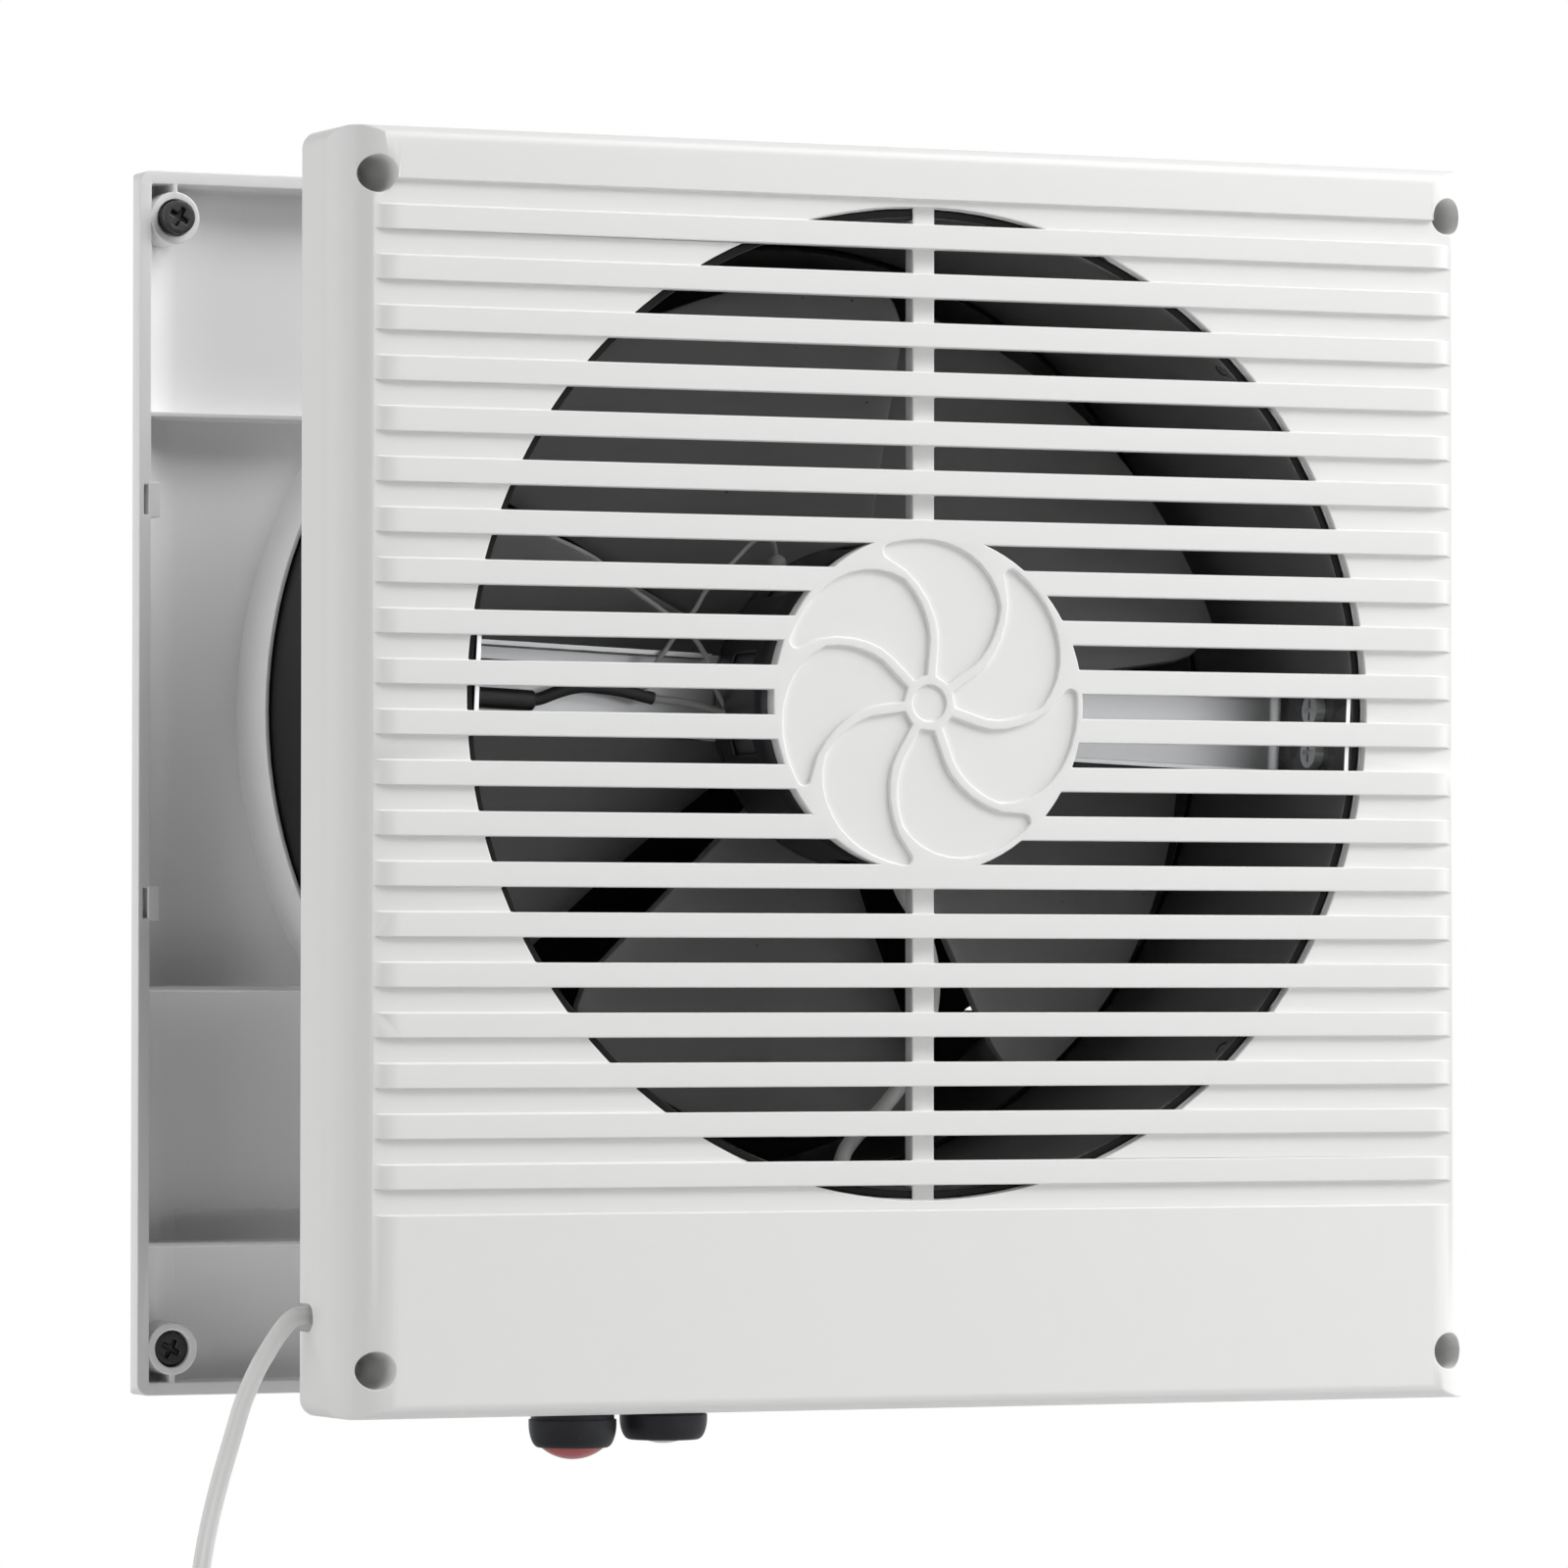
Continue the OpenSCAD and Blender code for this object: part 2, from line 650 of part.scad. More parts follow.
module motor_end_plate() {
    color([0.22, 0.22, 0.23]) difference() {
        union() {
            about_duct(can_r, end_y - end_plate_t, end_y);
            about_duct(bush_boss_r, end_y - 3, end_y + strap_t + 2);
        }
        about_duct(bush_r, end_y - 5, end_y + 6);
        for (end = [0, 180]) radial(end - strap_turn) translate([bolt_x, end_y - 5, 0])
            rotate([-90, 0, 0]) cylinder(r = screw_r + 0.1, h = 12, $fn = 32);
    }
}

module motor_bolts() {
    color(steel) for (end = [0, 180]) radial(end - strap_turn) translate([bolt_x, 0, 0]) {
        translate([0, can_y, 0]) rotate([-90, 0, 0])
            cylinder(r = screw_r, h = strap_y + 4.5 - can_y, $fn = 32);
        translate([0, can_y - 2.2, 0]) rotate([-90, 0, 0]) cylinder(r = 3.7, h = 2.2, $fn = 32);
    }
}

module motor_nuts() {
    color(steel) for (end = [0, 180]) radial(end - strap_turn) translate([bolt_x, strap_y, 0])
        rotate([-90, 0, 0]) difference() {
            cylinder(r = nut_r, h = nut_h, $fn = 6);
            translate([0, 0, -1]) cylinder(r = screw_r + touch, h = nut_h + 2, $fn = 32);
        }
}

stack_y = can_y + 7;
stator_in_r = 15.8;
module stator_stack() {
    color([0.45, 0.45, 0.48]) difference() {
        duct_tube(can_r - can_t - 0.1, stator_in_r, stack_y, stack_y + stack_l);
        for (end = [0, 180]) radial(end - strap_turn) translate([bolt_x, stack_y - 5, 0])
            rotate([-90, 0, 0]) cylinder(r = screw_r + 0.1, h = stack_l + 10, $fn = 32);
    }
}

winding_l = 3.2;
winding_in_r = stator_in_r + 1.7;
winding_out_r = bolt_x - screw_r - 1.55;
module stator_windings() {
    color(copper) for (y = [stack_y - winding_l, stack_y + stack_l])
        duct_tube(winding_out_r, winding_in_r, y, y + winding_l);
}

module rotor() {
    color([0.45, 0.45, 0.48])
        duct_tube(stator_in_r - 0.4, shaft_r + touch, stack_y - 0.5, stack_y + stack_l + 0.5);
}

shaft_y0 = can_y + 0.6;
nut_y = hub_y + hub_l - 3;
module motor_shaft() {
    color(steel) about_duct(shaft_r, shaft_y0, nut_y + 9);
}

module shaft_bushes() {
    color(brass) {
        duct_tube(bush_r - touch, shaft_r + bush_gap, can_y + 0.2, can_y + bush_l - 0.2);
        duct_tube(bush_r - touch, shaft_r + bush_gap, end_y - 2.8, end_y + strap_t + 1.8);
    }
}

// A blade is a thin curved sheet between the hub and the tip circle
blade_rows = 7;
blade_cols = 8;
blade_root_r = hub_r - 1;
function blade_r(i) = blade_root_r + (tip_r - blade_root_r) * pow(i / (blade_rows - 1), 0.85);
function blade_inset(i) = i == blade_rows - 1 ? 4 : 0;
function blade_angle(i, j) =
    blade_inset(i) + (blade_span + 3 * i / (blade_rows - 1) - 2 * blade_inset(i)) * j / (blade_cols - 1);
function blade_y(i, j) = let (d = root_depth + (blade_depth - root_depth) * i / (blade_rows - 1),
        t = blade_angle(i, j) / (blade_span + 3))
    2.2 + d * (t + 0.1 * sin(180 * t));
function blade_point(i, j, dy) = let (r = blade_r(i), a = blade_angle(i, j))
    [r * cos(a), blade_y(i, j) + dy, r * sin(a)];
function halves(a, b, c, d) = [[a, b, c], [a, c, d]];
function joined(lists) = [for (l = lists) for (x = l) x];
function sheet(rows, cols, k, turn) = joined([for (i = [0:rows - 2], j = [0:cols - 2])
    let (a = k + i * cols + j, b = a + 1, c = a + cols + 1, d = a + cols)
    turn ? halves(d, c, b, a) : halves(a, b, c, d)]);

module blade() {
    n = blade_rows * blade_cols;
    last = blade_cols - 1;
    points = [for (dy = [-blade_t / 2, blade_t / 2], i = [0:blade_rows - 1], j = [0:last])
        blade_point(i, j, dy)];
    faces = concat(
        sheet(blade_rows, blade_cols, 0, false),
        sheet(blade_rows, blade_cols, n, true),
        joined([for (i = [0:blade_rows - 2]) let (a = i * blade_cols, b = a + blade_cols)
            halves(a, b, b + n, a + n)]),
        joined([for (i = [0:blade_rows - 2]) let (a = i * blade_cols + last, b = a + blade_cols)
            halves(b, a, a + n, b + n)]),
        joined([for (j = [0:last - 1]) halves(j + 1, j, j + n, j + 1 + n)]),
        joined([for (j = [0:last - 1]) let (a = (blade_rows - 1) * blade_cols + j)
            halves(a, a + 1, a + 1 + n, a + n)]));
    polyhedron(points = points, faces = faces, convexity = 4);
}

module impeller() {
    wall = 2;
    color([0.24, 0.24, 0.25]) {
        difference() {
            union() {
                difference() {
                    translate([0, hub_y, duct_z]) rotate([-90, 0, 0]) rotate_extrude($fn = 96) {
                        square([hub_r - 4, hub_l]);
                        translate([0, 4]) square([hub_r, hub_l - 4]);
                        intersection() {
                            translate([hub_r - 4, 4]) circle(4);
                            square([hub_r, hub_l]);
                        }
                    }
                    about_duct(hub_r - wall, hub_y + 2.5, hub_y + hub_l + 1);
                }
                about_duct(7, hub_y + 1, nut_y - 1);
                for (k = [0:5]) radial(60 * k) translate([6, hub_y + 1, -0.8])
                    cube([hub_r - 7, hub_l - 8, 1.6]);
            }
            about_duct(shaft_r + touch, hub_y - 1, hub_y + hub_l + 1);
        }
        for (k = [0:blades - 1]) radial(blade_turn + k * 360 / blades) translate([0, hub_y, 0]) blade();
    }
}

module impeller_washer() {
    color(steel) duct_tube(6.5, shaft_r + touch, nut_y - 1, nut_y);
}

module impeller_nut() {
    color(steel) difference() {
        along_y(0, duct_z, 5.8, nut_y, nut_y + 5, 6);
        about_duct(shaft_r + touch, nut_y - 1, nut_y + 6);
    }
}

// Push buttons hang under the cover: their own origin is on the cover's lower face
plunger_r = 3.6;
module at_button(k) {
    translate([button_x + k * button_pitch, -button_y, -cover_h / 2]) children();
}

module bezel(head_h, neck) {
    round_r = 3.6;
    rotate_extrude($fn = 96) difference() {
        union() {
            translate([0, -neck]) square([bezel_r - 0.5, neck]);
            translate([0, -neck - head_h + round_r]) square([bezel_r, head_h - round_r]);
            translate([0, -neck - head_h]) square([bezel_r - round_r, head_h]);
            intersection() {
                translate([bezel_r - round_r, -neck - head_h + round_r]) circle(round_r);
                translate([0, -neck - head_h]) square([bezel_r, head_h]);
            }
            square([barrel_r, barrel_l]);
        }
        translate([0, -neck - head_h - 1]) square([lens_r + 0.2, head_h + neck + 1 + lens_travel + 1]);
        square([plunger_r + 0.2, barrel_l + 1]);
        translate([-2 * bezel_r, -2 * bezel_r]) square([2 * bezel_r, 4 * bezel_r]);
    }
}

// A lens: a low dome on a short drum, with a plunger that reaches up to the switch
module lens(out, drum_z0) {
    drum_top = drum_z0 + 5;
    edge_h = 0.8;
    dome_h = out - edge_h;
    dome_r = (lens_r * lens_r + dome_h * dome_h) / (2 * dome_h);
    intersection() {
        translate([0, 0, drum_z0 - out]) cylinder(r = lens_r, h = out + 5);
        translate([0, 0, drum_z0 - out + dome_r]) sphere(r = dome_r, $fn = 96);
    }
    translate([0, 0, drum_top - eps]) cylinder(r = plunger_r, h = barrel_l - lens_travel - 0.3 - drum_top);
}

module switch_block() {
    translate([-6.5, -6.5, barrel_l]) cube([13, 13, 12]);
}

module barrel_nut() {
    translate([0, 0, wall_t]) difference() {
        cylinder(r = 10.2, h = 3.4, $fn = 6);
        translate([0, 0, -1]) cylinder(r = barrel_r + touch, h = 6);
    }
}

pale_bezel_h = bezel_h - 0.6;
pale_neck_h = 0.5;
pale_out = 1.1;
module red_bezel() { color(black) at_button(0) bezel(bezel_h, neck_h); }
module red_lens() { color([0.62, 0.12, 0.14]) at_button(0) lens(lens_out, -neck_h - bezel_h); }
module red_switch() { color([0.15, 0.15, 0.16]) at_button(0) switch_block(); }
module red_barrel_nut() { color(black) at_button(0) barrel_nut(); }
module pale_bezel() { color(black) at_button(1) bezel(pale_bezel_h, pale_neck_h); }
module pale_lens() { color([0.6, 0.64, 0.58]) at_button(1) lens(pale_out, -pale_neck_h - pale_bezel_h); }
module pale_switch() { color([0.15, 0.15, 0.16]) at_button(1) switch_block(); }
module pale_barrel_nut() { color(black) at_button(1) barrel_nut(); }

tab_x = 3.5;
tab_z0 = barrel_l + 12;
tab_l = 7;
module switch_terminals() {
    color(brass) for (k = [0, 1], side = [-1, 1]) at_button(k)
        translate([side * tab_x - 0.4, -2.4, tab_z0]) cube([0.8, 4.8, tab_l]);
}

module cord_clamp() {
    y1 = clamp_top_y + 1.8;
    color([0.2, 0.2, 0.21]) difference() {
        hull() for (j = [-1, 1]) along_y(clamp_x, notch_z + j * clamp_dz, clamp_w / 2, clamp_top_y, y1);
        for (j = [-1, 1]) {
            along_y(clamp_x, notch_z + j * clamp_dz, 1.4, clamp_top_y - 1, y1 + 1);
            along_y(clamp_x, notch_z + j * clamp_dz, 2.6, y1 - 1, y1 + 1);
        }
    }
}

module clamp_screws() {
    y1 = clamp_top_y + 1.8;
    color(steel) for (j = [-1, 1]) {
        along_y(clamp_x, notch_z + j * clamp_dz, 1.1, clamp_top_y - 7, y1 - 1 + eps);
        along_y(clamp_x, notch_z + j * clamp_dz, 2.4, y1 - 1, y1);
    }
}

// Sweeps a round tube along points: each ring stands square to the path
function unit(v) = v / norm(v);
function route_dir(p, i) = unit(p[min(i + 1, len(p) - 1)] - p[max(i - 1, 0)]);
function smooth(p, steps) = [for (i = [0:len(p) - 2], k = [0:steps - 1])
        let (a = p[max(i - 1, 0)], b = p[i], c = p[i + 1], d = p[min(i + 2, len(p) - 1)], t = k / steps)
        0.5 * (2 * b + (c - a) * t + (2 * a - 5 * b + 4 * c - d) * t * t
            + (3 * b - a - 3 * c + d) * t * t * t),
    p[len(p) - 1]];

module tube(path, r, sides, up = [0, 0, 1]) {
    n = len(path);
    rings = [for (i = [0:n - 1]) let (t = route_dir(path, i), a = unit(cross(t, up)), b = cross(a, t))
        for (k = [0:sides - 1]) path[i] + r * (a * cos(360 * k / sides) + b * sin(360 * k / sides))];
    faces = concat(
        [for (i = [0:n - 2], k = [0:sides - 1]) let (q = i * sides, m = (k + 1) % sides)
            [q + k, q + m, q + sides + m]],
        [for (i = [0:n - 2], k = [0:sides - 1]) let (q = i * sides, m = (k + 1) % sides)
            [q + k, q + sides + m, q + sides + k]],
        [[for (k = [sides - 1:-1:0]) k]],
        [[for (k = [0:sides - 1]) (n - 1) * sides + k]]);
    polyhedron(points = rings, faces = faces, convexity = 10);
}

// Wires inside the covers
wire_r = 1.1;
lead_r = 2;
switch_top_z = -cover_h / 2 + tab_z0 + tab_l + touch;
sheath_x = clamp_x + clamp_w / 2 + 2;

module live_wire() {
    color([0.35, 0.2, 0.12]) tube(smooth([
        [sheath_x + touch, cord_y, notch_z], [sheath_x + 3, cord_y, notch_z],
        [sheath_x + 6, cord_y - 0.3, notch_z], [-104, -9, -112], [-94, -12, -102],
        [button_x - tab_x, -button_y, switch_top_z + 2.5], [button_x - tab_x, -button_y, switch_top_z + 1],
        [button_x - tab_x, -button_y, switch_top_z]], 3),
        wire_r, 8, [0, 1, 0]);
}

module link_wire() {
    x0 = button_x + tab_x;
    x1 = button_x + button_pitch - tab_x;
    color([0.35, 0.2, 0.12]) tube(smooth([
        [x0, -button_y, switch_top_z], [x0, -button_y, switch_top_z + 0.6],
        [x0, -button_y, switch_top_z + 1.2],
        [x0 + 1.4, -button_y, switch_top_z + 3.2],
        [(x0 + x1) / 2, -button_y + 0.5, switch_top_z + 4.8],
        [x1 - 1.4, -button_y, switch_top_z + 3.2], [x1, -button_y, switch_top_z + 1.2],
        [x1, -button_y, switch_top_z + 0.6], [x1, -button_y, switch_top_z]], 3), wire_r, 8, [0, 1, 0]);
}

// The motor's lead comes up through a hole in the sleeve's lowest part
lead_x = -15;
lead_y = -8;
lead_hole_z = duct_z - sqrt(pow(sleeve_r, 2) - lead_x * lead_x);
module lead_hole() {
    translate([lead_x, lead_y, lead_hole_z - 6]) cylinder(r = lead_r + 0.6, h = 14, $fn = 32);
}

module motor_lead() {
    x0 = button_x + button_pitch + tab_x;
    color(white) tube(smooth([
        [x0, -button_y, switch_top_z], [x0, -button_y, switch_top_z + 0.8],
        [x0, -button_y, switch_top_z + 1.6],
        [x0 + 2.5, -button_y, switch_top_z + 4.5], [-44, -11, -103.5], [-28, -9, -106],
        [lead_x - 3, lead_y, -102.5], [lead_x, lead_y, lead_hole_z], [-13, -7, -86], [-2, -5, -76],
        [8, -3, -64], [12, -2, -48], [9, -2, -34], [4, -2, duct_z - can_r - 5],
        [3, -2, duct_z - can_r + 0.1]], 3), lead_r, 8, [0, 1, 0]);
}

// Two black splices lie on the strap's left end: a lead and a looped thin wire run from them to the motor
splice_y = strap_y - strap_t - 2.6;
splice_l = 19;
splice_x = arm_x - 8.4 - splice_l;
module wire_splices() {
    color(black) radial(180 - strap_turn) for (z = [-3.4, 3.2])
        translate([splice_x, splice_y, z]) along_x(2.4, 0, splice_l, 24);
}

module strap_lead() {
    x0 = -splice_x + touch;
    color([0.75, 0.75, 0.74]) radial(-strap_turn) {
        tube(smooth([[x0, splice_y, -3.2], [x0 + 1, splice_y, -3.2], [x0 + 2, splice_y, -3.2],
            [-76, splice_y - 1, -2], [-66, splice_y - 2.4, 2.6], [-56, splice_y - 3, 1.9],
            [-47, splice_y - 3, -0.6], [-42, splice_y - 3, -2], [-40, splice_y - 3, -2.2],
            [-can_r - 0.15, splice_y - 3, -2.2]], 3), 1.9, 8, [0, 1, 0]);
        tube(smooth([[x0, splice_y, 3.4], [x0 + 0.7, splice_y, 3.4], [x0 + 1.4, splice_y, 3.4],
            [-80.2, splice_y - 1.2, 3.6], [-78.8, splice_y - 4.2, 4.4], [-79.2, splice_y - 7, 7.4],
            [-81.2, 1.8, 12.5], [-85.5, 1.4, 21], [-88.6, 1, 29.5], [-88.2, 1, 34], [-85, 1, 35.2],
            [-79.7, 1, 31.6], [-65.7, 1, 23.9], [-57.7, 1, 19.3], [-54, 2, 14.8], [-52, 2.3, 13.4],
            [-50.3, 2, 15.2], [-49.4, 1, 19.7], [-47, 0.3, 24.1], [-39.6, 0, 31.2], [-32.3, -0.5, 35.6],
            [-27.2, -0.8, 34.4], [-25.3, -0.8, 32.3], [-23.55, -0.8, 30.1]], 3), 0.9, 8, [0, 1, 0]);
    }
}

// The cord's free stretch, seen from the notch: from the clamp, out of the cover and down along the wall
cord_exit = [-cover_w / 2, cord_y, notch_z];
cord_steps = [
    [27, 0, 0], [17, 0, 0], [7, 0, 0.1], [0, 0, 0.6], [-3.6, 0, -0.1], [-6.6, 0, -3.1], [-9.6, 0, -7.4],
    [-12.5, 0, -12.2], [-15.5, 0, -18.9], [-18, 0, -26.7], [-20.4, 0, -34.3], [-22.6, 0, -42.3],
    [-24.2, 0, -49.3], [-25.4, 0, -56.3], [-26.4, 0, -65.3], [-27, 0, -75.3], [-27, 0, -82.3],
    [-27, 0, -89.3]];
cord_route = [for (p = cord_steps) cord_exit + p];

// The put-away coil starts and ends at its left side, with the cord heading down
coil_pitch = 2 * cord_r + turn_gap;
coil_c = cord_route[len(cord_route) - 1] + [coil_out_r, 0, -2 * cord_r];
coil_in_r = coil_out_r - coil_turns * coil_pitch;
coil_total = 360 * coil_turns * coil_layers;
rings_per_turn = 24;
function coil_leg(a) = a / (360 * coil_turns);
function coil_radius(a) = let (t = coil_leg(a), f = t - 2 * floor(t / 2))
    coil_in_r + (coil_out_r - coil_in_r) * abs(1 - f);
function ramp(t) = t < 0 ? 0 : t > 1 ? 1 : t * t * (3 - 2 * t);
function coil_layer(a, k = 1) = k >= coil_layers ? 0
    : ramp((a - 360 * coil_turns * k + 90) / 180) + coil_layer(a, k + 1);
function coil_point(a) = coil_c
    + [-coil_radius(a) * cos(a), -coil_pitch * coil_layer(a), -coil_radius(a) * sin(a)];
coil_rings = rings_per_turn * coil_turns * coil_layers;
coil_path = concat(
    [[coil_c[0] - coil_out_r, coil_c[1], coil_c[2] + 2 * cord_r]],
    [for (i = [0:coil_rings]) coil_point(coil_total * i / coil_rings)],
    [coil_point(coil_total) - [0, 0, 2 * cord_r]]);

// The least gap of the coil to itself, between points more than half a turn apart
coil_gap = min([for (i = [1:len(coil_path) - 2], j = [i + 12:1:len(coil_path) - 2])
    norm(coil_path[i] - coil_path[j])]) - 2 * cord_r;
echo(least_coil_gap = coil_gap);

// The last stretch, seen from the coil's end: down and back towards the wall
tail_steps = [
    [0, 0, 0], [0, 0, -6], [0, 0.6, -13], [0, 2, -20], [0, 4.2, -27], [0, 6.4, -34],
    [0, 8.2, -41], [0, 9.1, -48], [0, 9.3, -54], [0, 9.3, -60]];
tail_route = [for (p = tail_steps) coil_path[len(coil_path) - 1] + p];

module cord() {
    color(white) tube(cord_route, cord_r, 8, [0, 1, 0]);
}

module cord_coil() {
    color(white) tube(coil_path, cord_r, 6, [0, 1, 0]);
}

module cord_tail() {
    color(white) tube(tail_route, cord_r, 8, [1, 0, 0]);
}

// A flat tie holds the coil's turns together at its right side
module cord_tie() {
    in_w = coil_out_r - coil_in_r + 2 * cord_r + 1.2;
    in_d = (coil_layers - 1) * coil_pitch + 2 * cord_r + 1.2;
    tie_t = 1;
    y1 = coil_c[1] + cord_r + 0.6 + tie_t;
    color(black) difference() {
        translate([coil_c[0] + coil_in_r - cord_r - 0.6 - tie_t, y1 - in_d - 2 * tie_t, coil_c[2] - 3])
            cube([in_w + 2 * tie_t, in_d + 2 * tie_t, 6]);
        translate([coil_c[0] + coil_in_r - cord_r - 0.6, y1 - in_d - tie_t, coil_c[2] - 4])
            cube([in_w, in_d, 8]);
    }
}

// The plug hangs on the cord's end with its blades down
plug_c = tail_route[len(tail_route) - 1];
plug_h = 34;
plug_w = 24;
plug_t = 16;
module plug_body() {
    color(white) translate(plug_c) {
        translate([0, 0, -17]) cylinder(r1 = 6, r2 = 3.4, h = 17, $fn = 32);
        hull() {
            for (i = [-1, 1]) {
                translate([i * (plug_w / 2 - 6), 0, -18]) sphere(r = 5, $fn = 24);
                translate([i * (plug_w / 2 - plug_t / 2), 0, -plug_h])
                    cylinder(r = plug_t / 2, h = 8, $fn = 32);
            }
        }
    }
}

module plug_blades() {
    color(brass) for (i = [-1, 1]) translate(plug_c + [i * 6.35 - 0.75, -3.2, -plug_h - 16])
        cube([1.5, 6.4, 16]);
}

front_cover();
rear_cover();
front_sleeve();
rear_sleeve();
sleeve_screws();
rear_sleeve_screws();
dust_filter();
rear_screws();
motor_strap();
strap_screws();
strap_nuts();
motor_can();
motor_end_plate();
motor_bolts();
motor_nuts();
stator_stack();
stator_windings();
rotor();
motor_shaft();
shaft_bushes();
impeller();
impeller_washer();
impeller_nut();
red_bezel();
red_lens();
red_switch();
red_barrel_nut();
pale_bezel();
pale_lens();
pale_switch();
pale_barrel_nut();
switch_terminals();
cord_clamp();
clamp_screws();
live_wire();
link_wire();
motor_lead();
strap_lead();
wire_splices();
cord();
cord_coil();
cord_tail();
cord_tie();
plug_body();
plug_blades();
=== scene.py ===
"""Dressed model of a room-to-room fan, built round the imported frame.

The covers, the duct's tubes, the strap, the motor's housing, the clamp, the splices, the cord's tie and the
wall screws are copies of the frame's parts with softened edges, and three wires are copies with a round
section. The mains cord with its plug, the push buttons, the motor's leads and the fan wheel are modelled
here. What else shows is the frame's own, with a finish. Lengths are in metres where nothing says
millimetres: +X is right, +Y goes into the wall, +Z is up.
"""

from __future__ import annotations

import logging
import math
from dataclasses import dataclass, field, replace
from enum import Enum
from typing import Callable, Iterable, Sequence

import bpy
from mathutils import Matrix, Vector

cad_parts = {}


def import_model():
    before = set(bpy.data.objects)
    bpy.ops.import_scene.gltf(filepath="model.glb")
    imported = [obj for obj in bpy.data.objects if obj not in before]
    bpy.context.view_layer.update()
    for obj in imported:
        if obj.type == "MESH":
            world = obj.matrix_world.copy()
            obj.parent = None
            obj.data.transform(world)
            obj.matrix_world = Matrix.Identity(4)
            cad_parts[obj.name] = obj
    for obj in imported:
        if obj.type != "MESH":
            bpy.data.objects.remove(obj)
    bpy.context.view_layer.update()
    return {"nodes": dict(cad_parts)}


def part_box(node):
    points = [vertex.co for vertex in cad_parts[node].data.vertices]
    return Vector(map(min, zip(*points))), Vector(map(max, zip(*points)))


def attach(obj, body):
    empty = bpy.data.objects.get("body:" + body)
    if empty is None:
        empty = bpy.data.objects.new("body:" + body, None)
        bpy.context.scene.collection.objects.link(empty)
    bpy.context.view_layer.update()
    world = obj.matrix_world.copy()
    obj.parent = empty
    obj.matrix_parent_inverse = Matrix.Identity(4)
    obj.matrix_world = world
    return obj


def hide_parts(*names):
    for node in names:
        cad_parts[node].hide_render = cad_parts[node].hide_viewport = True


MM = 0.001
DUCT_Z = 17 * MM  # height of the duct's axis
DEPTHWISE = Vector((0, 1, 0))  # into the wall
FACING = 0.5  # least cosine between a face's normal and what the face looks at
WELD = 0.002 * MM  # points closer than this become one
log = logging.getLogger("room_fan")

Colour = tuple[float, float, float]
frame: dict[str, dict[str, object]]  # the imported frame, loaded at the end of this file


class Carrier(Enum):
    """The frame's bodies that pieces ride on."""

    HOUSING = "housing"
    WHEEL = "fan_wheel"
    REAR = "rear"
    RED_BUTTON = "red_button"
    PALE_BUTTON = "pale_button"


# Finishes


def grey(level: float) -> Colour:
    """A neutral colour of one linear level."""
    return (level, level, level)


def rgba(colour: Colour) -> tuple[float, float, float, float]:
    """The colour with full alpha, as a socket takes it."""
    return (*colour, 1.0)


